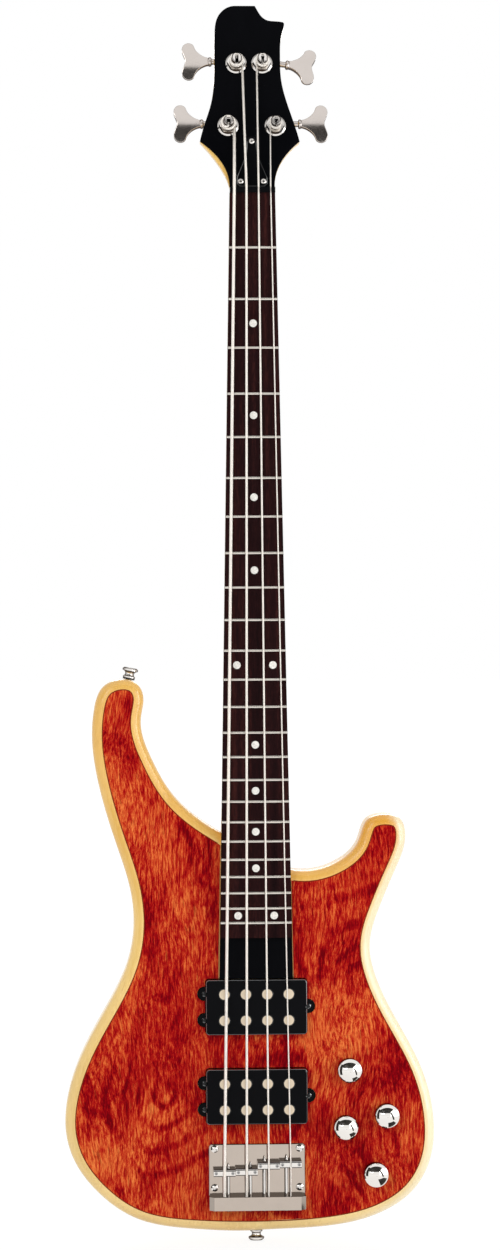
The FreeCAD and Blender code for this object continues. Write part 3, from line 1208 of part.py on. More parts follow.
def make_saddle(letter, order):
    """Saddle block with string notch, its two height screws and its intonation screw."""
    run = string_data(letter, order)
    up, half = Vector(0, 0, 1), dim.saddle_length / 2
    crest, floor = run.saddle_under - dim.saddle_crown, plate_top - dim.saddle_lift
    width = dim.bridge_spread / 3 - dim.saddle_gap
    r = dim.saddle_length * 0.34
    front, back = -(run.saddle_z + half), -(run.saddle_z - half)
    bow = r * (1 - math.sqrt(0.5))
    points = [Vector(*p, 0) for p in [(front, floor), (front, crest + r), (front + bow, crest + bow),
                                      (front + r, crest), (back - r, crest), (back - bow, crest + bow),
                                      (back, crest + r), (back, floor)]]
    profile = [Part.LineSegment(points[0], points[1]), Part.Arc(*points[1:4]),
               Part.LineSegment(points[3], points[4]), Part.Arc(*points[4:7]),
               Part.LineSegment(points[6], points[7]), Part.LineSegment(points[7], points[0])]
    blank = side_slab(f"saddle_blank_{letter}", profile, run.at_saddle - width / 2,
                      "bridge_spread / 3 - saddle_gap")
    across, depth = intonation_axis(run)
    rear = run.saddle_z - dim.saddle_length
    tools = [cylinder("saddle_notch_" + letter, f"gauge_{letter} + 2 * string_seat", "2 * saddle_length",
                      Vector(run.at_saddle, run.saddle_under - run.gauge / 2, rear), up),
             cylinder("saddle_thread_" + letter, "intonation_screw + 2 * screw_fit", "2 * saddle_length",
                      Vector(across, depth, rear), up)]
    top = crest - dim.height_screw_proud
    grubs = []
    for side in (-1, 1):
        start = Vector(run.at_saddle + side * dim.height_screw_across / 2, top, run.saddle_z)
        key = f"{letter}_{side + 1}"
        tools.append(cylinder("height_hole_" + key, "height_screw + 2 * fit", "tail_height + 10", start,
                              BACKWARD))
        shank = cylinder("height_shank_" + key, "height_screw", str(plate_top - dim.foot_gap - top), start,
                         BACKWARD)
        socket = prism("height_socket_" + key, "height_screw / 2", "height_screw", start + FORWARD, BACKWARD)
        grubs.append(cut("height_screw_" + key, shank, [socket]))
    seat = Vector(across, depth, plate_end_z - dim.foot_gap)
    reach = run.saddle_z + dim.intonation_reach - seat.z
    turner = wood_screw("intonation_screw_" + letter, seat, up, dim.intonation_screw, dim.screw_head, reach,
                        dim.screw_head_height)
    return [cut("saddle_" + letter, blank, tools), group("height_screws_" + letter, grubs), turner]


def post_radius_waist():
    """Radius of the post where the string winds."""
    return dim.post_diameter / 2 - dim.post_neck


def winding(letter, run, side):
    """Turns on a post in the head frame: the tangent point's angle and the knots of the helix."""
    leave = HEAD.inverse().multVec(nut_exit(run))
    across, rise = post_place(letter, side)
    ring_radius = post_radius_waist() + run.gauge / 2 + dim.string_seat
    gap = Vector(leave.x - across, leave.z - rise, 0)
    swing = math.acos(ring_radius / gap.Length)
    aim = math.atan2(gap.y, gap.x)
    start = max((aim - swing, aim + swing), key=lambda angle: -side * math.cos(angle))
    first = dim.bushing_flange_thickness + dim.bushing_hex_height + 2 * dim.string_seat + run.gauge / 2
    pitch = run.gauge + dim.turn_gap
    slope = pitch / (2 * math.pi * ring_radius)
    knots = []
    for quarter in range(int(round(4 * run.turns)) + 1):
        angle = start - side * quarter * math.pi / 2
        place = Vector(across + ring_radius * math.cos(angle), -(first + pitch * quarter / 4),
                       rise + ring_radius * math.sin(angle))
        along = Vector(side * math.sin(angle), -slope, -side * math.cos(angle)).normalize()
        knots.append((HEAD.multVec(place), HEAD.Rotation.multVec(along), angle))
    return knots


def nut_exit(run):
    """Point at the back of the nut where a string starts down to its post."""
    over_saddle = saddle_peak(run)
    over_nut = Vector(run.at_nut, run.nut_under - run.gauge / 2, 0)
    line = over_nut - over_saddle
    return over_nut + line * ((dim.nut_thickness - dim.bend_set) / line.z)


def saddle_peak(run):
    """Point at the back edge of the saddle where a string bends down to the tail."""
    behind = run.saddle_z - dim.saddle_length / 2 - dim.bend_set
    return Vector(run.at_saddle, run.saddle_under - run.gauge / 2, behind)


def biarc(p, along_p, q, along_q):
    """Two tangent arcs from one point and direction to another."""
    chord = q - p
    both = chord.dot(along_p + along_q)
    spread = 2 * (1 - along_p.dot(along_q))
    reach = (-both + math.sqrt(both ** 2 + spread * chord.dot(chord))) / spread
    first, second = p + along_p * reach, q - along_q * reach
    meet = (first + second) * 0.5
    arcs = []
    for a, corner, b in ((p, first, meet), (meet, second, q)):
        inward = (a + b) * 0.5 - corner
        quarter = (corner - a).getAngle(b - corner) / 4
        arcs.append(Part.Arc(a, corner + inward.normalize() * (reach * math.tan(quarter)), b))
    return arcs


def bent_line(points, radius):
    """Straight runs joined by tangent arcs of one radius."""
    edges, here = [], points[0]
    for before, corner, after in zip(points, points[1:], points[2:]):
        back, ahead = (before - corner).normalize(), (after - corner).normalize()
        half = back.getAngle(ahead) / 2
        reach = radius / math.tan(half)
        middle = corner + (back + ahead).normalize() * (radius / math.sin(half) - radius)
        edges += [Part.LineSegment(here, corner + back * reach),
                  Part.Arc(corner + back * reach, middle, corner + ahead * reach)]
        here = corner + ahead * reach
    return edges + [Part.LineSegment(here, points[-1])]


def turn_clearance(letter, edges, gauge, turn_length):
    """Least air between the turns of a winding, measured on points along its axis."""
    points, lengths, total = [], [], 0.0
    for edge in edges:
        shape = edge.toShape()
        steps = shape.discretize(9)[:-1]
        points += steps
        lengths += [total + shape.Length * i / 8 for i in range(8)]
        total += shape.Length
    least = min((a.distanceToPoint(b) for i, a in enumerate(points) for j, b in enumerate(points)
                 if lengths[j] - lengths[i] > turn_length / 2), default=gauge + dim.turn_gap) - gauge
    print(f"string {letter}: least air between turns {least:.2f} mm")


def make_string(letter, order, side):
    """String from its ball end over saddle and nut to its turns, one unbroken tube."""
    run = string_data(letter, order)
    hole = plate_top - dim.string_hole_rise
    ball_z = plate_end_z + dim.ball_sink
    knots = winding(letter, run, side)
    route = [Vector(run.at_saddle, hole, ball_z + dim.ball_length / 5),
             Vector(run.at_saddle, hole, tail_front_z + dim.tail_lead),
             saddle_peak(run), nut_exit(run), knots[0][0]]
    arrive = (route[-1] - route[-2]).normalize()
    directions = [arrive] + [along for _, along, _ in knots[1:]]
    turns = []
    for i in range(len(knots) - 1):
        turns += biarc(knots[i][0], directions[i], knots[i + 1][0], directions[i + 1])
    ring_radius = post_radius_waist() + run.gauge / 2 + dim.string_seat
    turn_clearance(letter, turns, run.gauge, 2 * math.pi * ring_radius)
    path = Part.Wire([edge.toShape() for edge in bent_line(route, dim.string_bend) + turns])
    section = Part.Wire([Part.Circle(route[0], Vector(0, 0, 1), run.gauge / 2).toShape()])
    tube = path.makePipeShell([section], True, False)
    ball = Part.makeCylinder(dim.ball_diameter / 2, dim.ball_length, Vector(run.at_saddle, hole, ball_z),
                             Vector(0, 0, 1))
    whole = doc.addObject("Part::Feature", "string_" + letter)
    whole.Shape = tube.fuse(ball)
    return whole


def make_tuner(letter, order, side):
    """Bushing, housing, screw, key and slotted post of one tuner, in the head frame."""
    across, rise = post_place(letter, side)
    seat = Vector(across, 0, rise)
    flange, sleeve = dim.bushing_flange / 2, dim.bushing_sleeve / 2
    thick = dim.bushing_flange_thickness
    ferrule = turned("bushing_body_" + letter, [(0, -head_depth), (sleeve, -head_depth), (sleeve, 0),
                                                (flange, 0), (flange, thick * 0.4), (flange - thick, thick),
                                                (0, thick)], seat, FORWARD)
    hexagon = prism("bushing_hex_" + letter, "bushing_hex", "bushing_hex_height", seat + FORWARD * thick,
                    FORWARD)
    post_bore = cylinder("bushing_bore_" + letter, "post_diameter + 2 * post_fit", "2 * neck_depth + 10",
                         seat + FORWARD * 10, BACKWARD)
    bushing = cut("bushing_" + letter, fused("bushing_solid_" + letter, [ferrule, hexagon]), [post_bore],
                  HEAD)
    gear_top = head_depth + dim.gear_set
    gear_low = gear_top + dim.gear_thickness
    foot, pivot = gear_low + dim.pivot_length, dim.key_shaft / 2
    key_depth = (gear_top + gear_low) / 2
    key_rise = rise + (dim.gear_diameter + dim.worm_diameter) / 2 + dim.worm_gap
    return [make_post(letter, order, side, seat, gear_top, gear_low, foot, pivot),
            make_key(letter, side, across, key_depth, key_rise), bushing,
            make_housing(letter, side, gear_low, foot, pivot, key_depth, key_rise),
            tuner_screw(letter, side)]


def make_post(letter, order, side, seat, gear_top, gear_low, foot, pivot):
    """Post with gear foot, winding waist, string slot and tip hole."""
    gear, r, waist = dim.gear_diameter / 2, dim.post_diameter / 2, post_radius_waist()
    shoulder = dim.bushing_flange_thickness + dim.bushing_hex_height
    top, neck, edge = dim.post_height, dim.post_neck, dim.post_edge
    head = top - dim.post_head
    profile = [(0, -foot), (pivot, -foot), (pivot, -gear_low), (gear, -gear_low), (gear, -gear_top),
               (r, -gear_top), (r, shoulder), (waist, shoulder + neck), (waist, head - neck), (r, head),
               (r, top - edge), (r - edge, top), (0, top)]
    blank = turned("post_blank_" + letter, profile, seat, FORWARD)
    run = string_data(letter, order)
    mouth = winding(letter, run, side)[-1][2]
    width = run.gauge + 4 * dim.string_seat
    slot = doc.addObject("Part::Box", "post_slot_" + letter)
    bind(slot, Length="post_diameter + 2", Width="post_slot_depth + 1",
         Height=f"gauge_{letter} + 4 * string_seat")
    turn = Placement(seat, Rotation(Vector(0, 1, 0), -math.degrees(mouth)))
    slot.Placement = turn.multiply(Placement(Vector(-r - 1, -top - 1, -width / 2), Rotation()))
    tip = cylinder("post_tip_hole_" + letter, "0.35 * post_diameter", "1.6 * post_slot_depth",
                   seat + FORWARD * top, BACKWARD)
    return cut("tuner_post_" + letter, blank, [slot, tip], HEAD)


def make_key(letter, side, across, depth, rise):
    """Key with two-lobed round-faced blade, collar, shaft and plain worm."""
    root = across + side * dim.key_reach
    long, half, stem = dim.key_length, dim.key_span / 2, dim.key_root / 2
    lobe = [(0, stem)] + [(x * long, y * half) for x, y in KEY_LOBE]
    upper = [(root + side * x, rise + y) for x, y in lobe]
    lower = [(root + side * x, rise - y) for x, y in lobe[::-1]]
    edge = [spline(upper[:-1] + lower), Part.LineSegment(Vector(*lower[-1], 0), Vector(*upper[0], 0))]
    front = depth - dim.key_thickness / 2
    blank = slab("key_blank_" + letter, edge, front, "key_thickness")
    out = Vector(side, 0, 0)
    faces = [cylinder(f"key_face_{letter}_{way + 1}", "2 * key_crown", "2 * key_length",
                      Vector(root, depth + way * (dim.key_crown - dim.key_thickness / 2), rise)
                      - out * dim.key_length / 2, out) for way in (-1, 1)]
    lens = doc.addObject("Part::MultiCommon", "key_lens_" + letter)
    lens.Shapes = [blank, *faces]
    doc.recompute()
    blade = doc.addObject("Part::Fillet", "key_blade_" + letter)
    blade.Base = lens
    blade.Edges = [(i, dim.key_edge, dim.key_edge) for i, rim in enumerate(lens.Shape.Edges, start=1)
                   if rim.Length > dim.key_span]
    axle = Vector(across, depth, rise)
    worm = cylinder("key_worm_" + letter, "worm_diameter",
                    "housing_outer + housing_inner - axle_bearing - worm_end",
                    axle - out * (dim.housing_inner - dim.worm_end), out)
    shaft = cylinder("key_axle_" + letter, "key_shaft", "key_reach - housing_outer + axle_bearing + 1",
                     axle + out * (dim.housing_outer - dim.axle_bearing), out)
    r, c = dim.key_collar / 2, dim.collar_length / 2
    collar = turned("key_collar_" + letter, [(0, -c), (0.8 * r, -c), (r, -0.6 * c), (r, 0),
                                             (0.8 * r, 0.55 * c), (0, c)], axle + out * dim.key_reach, out)
    key = fused("tuner_key_" + letter, [blade, worm, shaft, collar])
    turn = Placement(Vector(), Rotation(Vector(1, 0, 0), TUNER_REST[letter][1]), axle)
    key.Placement = HEAD.multiply(tuner_twist(letter, side)).multiply(turn)
    return key


def make_housing(letter, side, gear_low, foot, pivot, key_depth, key_rise):
    """Closed gear housing behind the head with a fixing lug, hollow for gear and worm."""
    across, rise = post_place(letter, side)
    inner, outer = across - side * dim.housing_inner, across + side * dim.housing_outer
    low, high = rise - dim.housing_low, rise + dim.housing_high
    corners = [(inner, low), (outer, low), (outer, high), (inner, high)]
    body, pad = padded("housing_box_" + letter, rounded(corners, dim.housing_corner), head_depth,
                       "housing_depth")
    dress(body, "Fillet", pad, edges_on(pad, head_depth + dim.housing_depth), "housing_corner / 2")
    lug_x, lug_z = lug_place(letter, side)
    lug = cylinder("housing_lug_" + letter, "lug_diameter", "lug_thickness",
                   Vector(lug_x, head_depth, lug_z), BACKWARD)
    seat, out = Vector(across, 0, rise), Vector(side, 0, 0)
    axle = Vector(across, key_depth, key_rise)
    gear_room, worm_start = gear_low + dim.worm_gap - head_depth + 1, dim.housing_inner - dim.worm_end
    tools = [cylinder("gear_room_" + letter, "gear_diameter + 4 * worm_gap", str(gear_room),
                      seat + BACKWARD * (head_depth - 1), BACKWARD),
             cylinder("pivot_bore_" + letter, "key_shaft + 2 * post_fit",
                      str(foot + dim.worm_gap - gear_low + 1), seat + BACKWARD * (gear_low - 1), BACKWARD),
             cylinder("worm_bore_" + letter, "worm_diameter + 2 * worm_gap",
                      "housing_outer + housing_inner - axle_bearing - worm_end + 2 * worm_gap",
                      axle - out * (worm_start + dim.worm_gap), out),
             cylinder("axle_bore_" + letter, "key_shaft + 2 * post_fit", "housing_outer",
                      axle + out * (dim.housing_outer - dim.axle_bearing - dim.worm_gap), out),
             cylinder("lug_hole_" + letter, "small_screw + 2 * fit", "2 * housing_depth",
                      Vector(lug_x, head_depth - 1, lug_z), BACKWARD),
             cylinder("lug_relief_" + letter, "small_screw_head + 2 * lug_relief", "2 * housing_depth",
                      Vector(lug_x, head_depth + dim.lug_thickness, lug_z), BACKWARD)]
    return cut("housing_" + letter, fused("housing_solid_" + letter, [body, lug]), tools,
               HEAD.multiply(tuner_twist(letter, side)))


def tuner_screw(letter, side):
    """Small screw through the housing's lug."""
    lug_x, lug_z = lug_place(letter, side)
    screw = wood_screw("tuner_screw_" + letter, Vector(lug_x, head_depth + dim.lug_thickness, lug_z), FORWARD,
                       dim.small_screw, dim.small_screw_head, dim.tuner_screw_length, dim.small_head_height)
    screw.Placement = HEAD.multiply(tuner_twist(letter, side))
    return screw


def make_control(name, across, along):
    """Domed knob with its shaft, and the control with its nut."""
    base = Vector(across, body_front - dim.knob_gap, along)
    r, high, hole = dim.knob_diameter / 2, dim.knob_height, dim.shaft_diameter / 2 + dim.fit
    hollow, ceiling = dim.knob_hollow / 2, dim.knob_hollow_depth
    edge, rim, roof = dim.knob_edge, high - dim.knob_crown, high - dim.knob_cover
    dome = turned(name + "_dome", [(hole, ceiling), (hollow, ceiling), (hollow, 0), (r - edge, 0), (r, edge),
                                   (r, rim), cap(r, rim, high), (0, roof), (hole, roof)],
                  base, FORWARD)
    inside = body_front + dim.control_wall
    front, shaft_low = base.y - roof + dim.fit, inside + dim.shaft_seat
    shaft = cylinder(name + "_shaft", "shaft_diameter", str(shaft_low - front), Vector(across, front, along),
                     BACKWARD)
    nut_front = body_front - dim.pot_nut_height
    can = cylinder(name + "_can", "pot_diameter", "pot_depth", Vector(across, inside, along), BACKWARD)
    bush = cylinder(name + "_bush", "bush_diameter", "pot_nut_height + control_wall + 2",
                    Vector(across, nut_front - 1, along), BACKWARD)
    bore = cylinder(name + "_bore", "shaft_diameter + 2 * shaft_fit",
                    str(shaft_low + dim.shaft_end - nut_front + 2), Vector(across, nut_front - 2, along),
                    BACKWARD)
    control = cut(name + "_control", fused(name + "_case", [can, bush]), [bore])
    hexagon = prism(name + "_hexagon", "pot_nut", "pot_nut_height", Vector(across, nut_front, along),
                    BACKWARD)
    clear = cylinder(name + "_nut_bore", "bush_diameter + 2 * fit", "pot_nut_height + 2",
                     Vector(across, nut_front - 1, along), BACKWARD)
    return group(name, [dome, shaft]), [control, cut(name + "_nut", hexagon, [clear])]


def make_jack():
    """Recessed jack in the treble rim: flange, sleeve and plain bore."""
    face = Vector(jack_rim - dim.jack_sink, body_middle, jack_z)
    inward = Vector(-1, 0, 0)
    ring_r, thick, edge = dim.jack_flange / 2, dim.jack_flange_thickness, dim.jack_edge
    flange = turned("jack_flange_ring", [(0, 0), (ring_r - edge, 0), (ring_r, edge), (ring_r, thick),
                                         (0, thick)], face, inward)
    sleeve = cylinder("jack_tube", "jack_sleeve", "jack_length", face, inward)
    bore = cylinder("jack_bore_tool", "jack_bore", "jack_length + 4", face - inward * 2, inward)
    return cut("output_jack", fused("jack_solid", [flange, sleeve]), [bore])


def make_strap_buttons():
    """Two strap buttons on felt washers, with countersunk screws."""
    buttons, screws, felts = [], [], []
    head, waist, base, high = dim.strap_head / 2, dim.strap_waist / 2, dim.strap_base / 2, dim.strap_height
    hole, cone = dim.strap_screw / 2 + dim.fit, dim.strap_screw + dim.fit
    felt, soft = dim.felt_diameter / 2, dim.felt_thickness
    for place, seat, axis in strap_seats():
        foot = seat + axis * dim.felt_thickness
        felts.append(turned("felt_" + place, [(hole, 0), (felt, 0), (felt, soft), (hole, soft)], seat, axis))
        buttons.append(turned("button_" + place, [(hole, 0), (base, 0), (base, dim.strap_foot),
                                                  ((waist, 0.36 * high), (base, 0.62 * high)),
                                                  (head, 0.7 * high), (head, 0.86 * high),
                                                  (head - dim.strap_edge, high), (cone, high),
                                                  (hole, high - cone + hole)], foot, axis))
        screws.append(wood_screw("strap_screw_" + place, foot + axis * high, axis.negative(), dim.strap_screw,
                                 2 * dim.strap_screw, dim.strap_screw_length))
    return [group("strap_buttons", buttons), group("strap_button_screws", screws),
            group("strap_felts", felts)]


def make_everything():
    """All sub-parts of the bass, each an object with its own label."""
    parts = [make_body_core(), make_body_top(), *make_control_cover(), make_neck(), make_head_face(),
             *make_fingerboard(), make_heel_face(), make_nut(), make_truss_rod(), *make_truss_cover(),
             *make_neck_fixings(), *make_pickups(), *make_bridge_plate(), make_jack(), *make_strap_buttons()]
    bushings, housings, tuner_screws, controls = [], [], [], []
    for letter, order, side in STRINGS:
        post, key, bushing, housing, screw = make_tuner(letter, order, side)
        bushings.append(bushing)
        housings.append(housing)
        tuner_screws.append(screw)
        parts += [post, key, *make_saddle(letter, order), make_string(letter, order, side)]
    for name, across, along in knob_places:
        knob, control = make_control(name, across, along)
        parts.append(knob)
        controls += control
    return parts + [group("tuner_bushings", bushings), group("tuner_housings", housings),
                    group("tuner_screws", tuner_screws), group("potentiometers", controls)]


parts = make_everything()
doc.recompute()
for obj in doc.Objects:
    if {"Invalid", "Error"} & set(obj.State):
        raise RuntimeError(f"{obj.Name} did not compute")
os.makedirs("parts", exist_ok=True)
for part in parts:
    part.Label = part.Name
    if part.Shape.isNull() or not part.Shape.isValid():
        raise RuntimeError(f"{part.Label} has no valid shape")
for part in parts:
    part.Shape.exportStep(f"parts/{part.Label}.step")
print(len(parts), "parts,", sum(len(part.Shape.Solids) for part in parts), "solids")
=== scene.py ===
# %% [markdown]
# # A four-string electric bass guitar
#
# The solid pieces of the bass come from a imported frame: body, neck, hardware and controls, each at its
# real place in metres. This lesson dresses that frame. It sets up the camera and a plain studio, builds
# procedural finishes for wood, lacquer, plating and wire, and replaces the plain string solids with
# wound strings worked out as numpy surfaces.

# %% Load the frame
import math

import bpy
import numpy as np
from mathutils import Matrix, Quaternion, Vector


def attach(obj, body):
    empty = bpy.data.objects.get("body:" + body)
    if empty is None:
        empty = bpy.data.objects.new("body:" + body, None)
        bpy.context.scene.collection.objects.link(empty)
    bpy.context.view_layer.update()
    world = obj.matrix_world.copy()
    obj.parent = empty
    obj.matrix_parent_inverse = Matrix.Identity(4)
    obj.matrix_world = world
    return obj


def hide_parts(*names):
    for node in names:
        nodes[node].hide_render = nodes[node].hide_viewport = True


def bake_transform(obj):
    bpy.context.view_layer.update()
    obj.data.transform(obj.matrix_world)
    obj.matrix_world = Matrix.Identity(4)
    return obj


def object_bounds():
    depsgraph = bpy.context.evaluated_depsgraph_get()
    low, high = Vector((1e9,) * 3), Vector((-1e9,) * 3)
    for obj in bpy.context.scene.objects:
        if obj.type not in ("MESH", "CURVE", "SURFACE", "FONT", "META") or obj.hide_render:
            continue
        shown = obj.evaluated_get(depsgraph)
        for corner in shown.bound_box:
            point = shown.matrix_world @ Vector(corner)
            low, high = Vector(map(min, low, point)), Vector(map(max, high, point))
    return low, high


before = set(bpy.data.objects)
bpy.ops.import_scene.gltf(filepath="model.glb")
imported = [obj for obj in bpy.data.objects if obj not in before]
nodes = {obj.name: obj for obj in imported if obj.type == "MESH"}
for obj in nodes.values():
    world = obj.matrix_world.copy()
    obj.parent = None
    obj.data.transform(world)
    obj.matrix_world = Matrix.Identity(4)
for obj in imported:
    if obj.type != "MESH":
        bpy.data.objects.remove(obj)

cad_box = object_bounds()
scene = bpy.context.scene
scene.view_settings.view_transform = "Standard"
MM = 0.001

# %% [markdown]
# ## Camera
#
# The photograph looks straight at the playing side from about three metres, a little from the bass side,
# and the neck leans a hair to the left. A long lens at that distance keeps the same slight perspective.
# The picture is 500 by 1250 pixels, so the lens is worked out from the height that the frame covers.

# %% Place the camera
PHOTO_WIDTH, PHOTO_HEIGHT = 500, 1250
VIEW_DISTANCE = 3.0
FRAME_HEIGHT = 1.1083
SENSOR_HEIGHT = 36.0
AIM = Vector((-0.0042, -0.007, -0.3834))
AZIMUTH = math.radians(-2.5)
ROLL = -0.0052
CHECK_SPOTS = {"nut": (0, -0.009, 0), "saddle line": (0, -0.010, -0.8636), "tail": (0, 0.002, -0.923)}

camera_data = bpy.data.cameras.new("photo_camera")
camera_data.sensor_fit = "VERTICAL"
camera_data.sensor_height = SENSOR_HEIGHT
camera_data.lens = SENSOR_HEIGHT * VIEW_DISTANCE / FRAME_HEIGHT
camera = bpy.data.objects.new("photo_camera", camera_data)
scene.collection.objects.link(camera)
camera.location = AIM + VIEW_DISTANCE * Vector((math.sin(AZIMUTH), -math.cos(AZIMUTH), 0))
facing = (AIM - camera.location).to_track_quat("-Z", "Y")
camera.rotation_mode = "QUATERNION"
camera.rotation_quaternion = facing @ Quaternion((0, 0, 1), ROLL)
scene.camera = camera


def photo_pixel(point):
    """Pinhole picture place: the camera-space offset over depth, times the lens in pixels."""
    seen = camera.matrix_world.inverted() @ Vector(point)
    pixels = camera_data.lens / SENSOR_HEIGHT * PHOTO_HEIGHT
    return PHOTO_WIDTH / 2 - seen.x / seen.z * pixels, PHOTO_HEIGHT / 2 + seen.y / seen.z * pixels


bpy.context.view_layer.update()
for label, spot in CHECK_SPOTS.items():
    print(label, "at pixel", [round(value, 1) for value in photo_pixel(spot)])

# %% [markdown]
# ## Helpers for node networks
#
# A finish in Blender is a network of small nodes. It could be drawn by hand in the shader editor, but a
# drawing is hard to read back and to repeat. So each function here adds one node, sets its values and
# hands back the socket that the next one needs, and a finish then reads like a recipe.

# %% Node helpers
def join(tree, source, target):
    """Link two sockets."""
    tree.links.new(source, target)


def feed(tree, value, socket):
    """Give a socket its value: a link from another socket, or a plain number, vector or colour."""
    if isinstance(value, bpy.types.NodeSocket):
        join(tree, value, socket)
    else:
        socket.default_value = (*value, 1) if socket.type == "RGBA" else value


def set_plain(node, values):
    """Set sockets of a node, by their labels, to values that are the same all over."""
    for label, value in values.items():
        feed(None, value, node.inputs[label])


def new_material(name):
    """Empty node material with its output and a principled shader, joined."""
    material = bpy.data.materials.new(name)
    material.use_nodes = True
    tree = material.node_tree
    tree.nodes.clear()
    output = tree.nodes.new("ShaderNodeOutputMaterial")
    shader = tree.nodes.new("ShaderNodeBsdfPrincipled")
    join(tree, shader.outputs["BSDF"], output.inputs["Surface"])
    return material, tree, shader, output


def maths(tree, operation, first, second=0.0):
    """One sum of two values, each a socket or a number."""
    node = tree.nodes.new("ShaderNodeMath")
    node.operation = operation
    feed(tree, first, node.inputs[0])
    feed(tree, second, node.inputs[1])
    return node.outputs[0]


def vector_maths(tree, operation, first, second=(0, 0, 0)):
    """One sum of two vectors. SCALE takes a number as its second value, and LENGTH gives a number."""
    node = tree.nodes.new("ShaderNodeVectorMath")
    node.operation = operation
    join(tree, first, node.inputs[0])
    feed(tree, second, node.inputs["Scale"] if operation == "SCALE" else node.inputs[1])
    return node.outputs["Value" if operation == "LENGTH" else "Vector"]


def ranged(tree, value, low, high, to_low=0.0, to_high=1.0):
    """Map a value from one range to another, clamped."""
    node = tree.nodes.new("ShaderNodeMapRange")
    set_plain(node, {"From Min": low, "From Max": high, "To Min": to_low, "To Max": to_high})
    join(tree, value, node.inputs["Value"])
    return node.outputs["Result"]


def object_vector(tree):
    """The piece's own coordinates in metres."""
    return tree.nodes.new("ShaderNodeTexCoord").outputs["Object"]


print("node helpers ready in Blender", bpy.app.version_string)

# %% [markdown]
# ## Studio
#
# The bass hangs upright before plain white. A white world is what the camera and the plating see, while
# a lower level lights the wood, so colours come out about as they are written. Large soft lamps in front,
# beside and behind give the modelling, and a narrow strip draws the treble edge. Shiny plating only looks
# like metal when it has something dark to mirror, so four dark cards hang around it: a canopy over the
# camera, a post on each side and a patch on the floor, which nothing but reflections can see. The floor
# takes the shadow close to the bass and fades to the white of the world further out.

# %% White world
WORLD_LIGHT = 0.55

world = bpy.data.worlds.new("white_studio")
scene.world = world
world.use_nodes = True
tree = world.node_tree
tree.nodes.clear()
out = tree.nodes.new("ShaderNodeOutputWorld")
sky = tree.nodes.new("ShaderNodeBackground")
set_plain(sky, {"Color": (1, 1, 1)})
paths = tree.nodes.new("ShaderNodeLightPath").outputs
seen = maths(tree, "MAXIMUM", paths["Is Camera Ray"], paths["Is Glossy Ray"])
seen = maths(tree, "MAXIMUM", seen, paths["Is Transmission Ray"])
join(tree, ranged(tree, seen, 0.0, 1.0, WORLD_LIGHT, 1.0), sky.inputs["Strength"])
join(tree, sky.outputs["Background"], out.inputs["Surface"])
print("world lights at", WORLD_LIGHT, "and is seen at 1.0")


# %% Floor
def card(name, centre, across, up, material):
    """Flat rectangle: centre plus or minus half of each edge vector."""
    centre, across, up = (np.array(v, float) for v in (centre, across, up))
    signs = np.array([(-1, -1), (1, -1), (1, 1), (-1, 1)]) / 2
    corners = centre + signs[:, :1] * across + signs[:, 1:] * up
    mesh = bpy.data.meshes.new(name)
    mesh.from_pydata(corners.tolist(), [], [(0, 1, 2, 3)])
    mesh.materials.append(material)
    piece = bpy.data.objects.new(name, mesh)
    scene.collection.objects.link(piece)
    return piece


FLOOR_LEVEL, FLOOR_SIZE = cad_box[0].z - 0.0005, 60.0
# The floor glows white in part near the bass and altogether far off.
GLOW, NEAR_GLOW, NEAR, FAR = 1.08, 0.8, 1.3, 3.5

floor_paint, tree, shader, out = new_material("floor_paint")
set_plain(shader, {"Base Color": (0.9, 0.9, 0.9), "Roughness": 0.9})
glow = tree.nodes.new("ShaderNodeEmission")
set_plain(glow, {"Color": (1, 1, 1), "Strength": GLOW})
paths = tree.nodes.new("ShaderNodeLightPath").outputs
seen = maths(tree, "MAXIMUM", paths["Is Camera Ray"], paths["Is Glossy Ray"])
away = vector_maths(tree, "LENGTH", object_vector(tree))
both = tree.nodes.new("ShaderNodeMixShader")
join(tree, maths(tree, "MULTIPLY", seen, ranged(tree, away, NEAR, FAR, NEAR_GLOW, 1.0)), both.inputs[0])
join(tree, shader.outputs["BSDF"], both.inputs[1])
join(tree, glow.outputs["Emission"], both.inputs[2])
join(tree, both.outputs[0], out.inputs["Surface"])
card("floor", (0, 0, FLOOR_LEVEL), (FLOOR_SIZE, 0, 0), (0, FLOOR_SIZE, 0), floor_paint)
print("studio floor at", round(FLOOR_LEVEL, 4))

# %% Dark cards
# Centre of each card and its two edges, in metres.
DARK_CARDS = {
    "canopy_dark_card": ((-0.60, -1.78, 0.38), (3.8, 0, 0), (0, 2.39, 0)),
    "bass_dark_post": ((-0.185, -0.10, -0.745), (0.038, -0.104, 0), (0, 0, 0.37)),
    "treble_dark_post": ((0.263, -0.178, -0.825), (0.04, 0.035, 0), (-0.073, -0.07, 0.21)),
    "floor_dark_card": ((0.19, -0.05, FLOOR_LEVEL + 0.002), (0.12, 0, 0), (0, 0.10, 0)),
}
card_paint, tree, shader, _ = new_material("dark_card_paint")
set_plain(shader, {"Base Color": (0.02, 0.018, 0.016), "Roughness": 1.0})
for name, (centre, across, up) in DARK_CARDS.items():
    piece = card(name, centre, across, up, card_paint)
    piece.visible_camera = False
    piece.visible_shadow = False
    piece.visible_diffuse = False
print("dark cards:", list(DARK_CARDS))

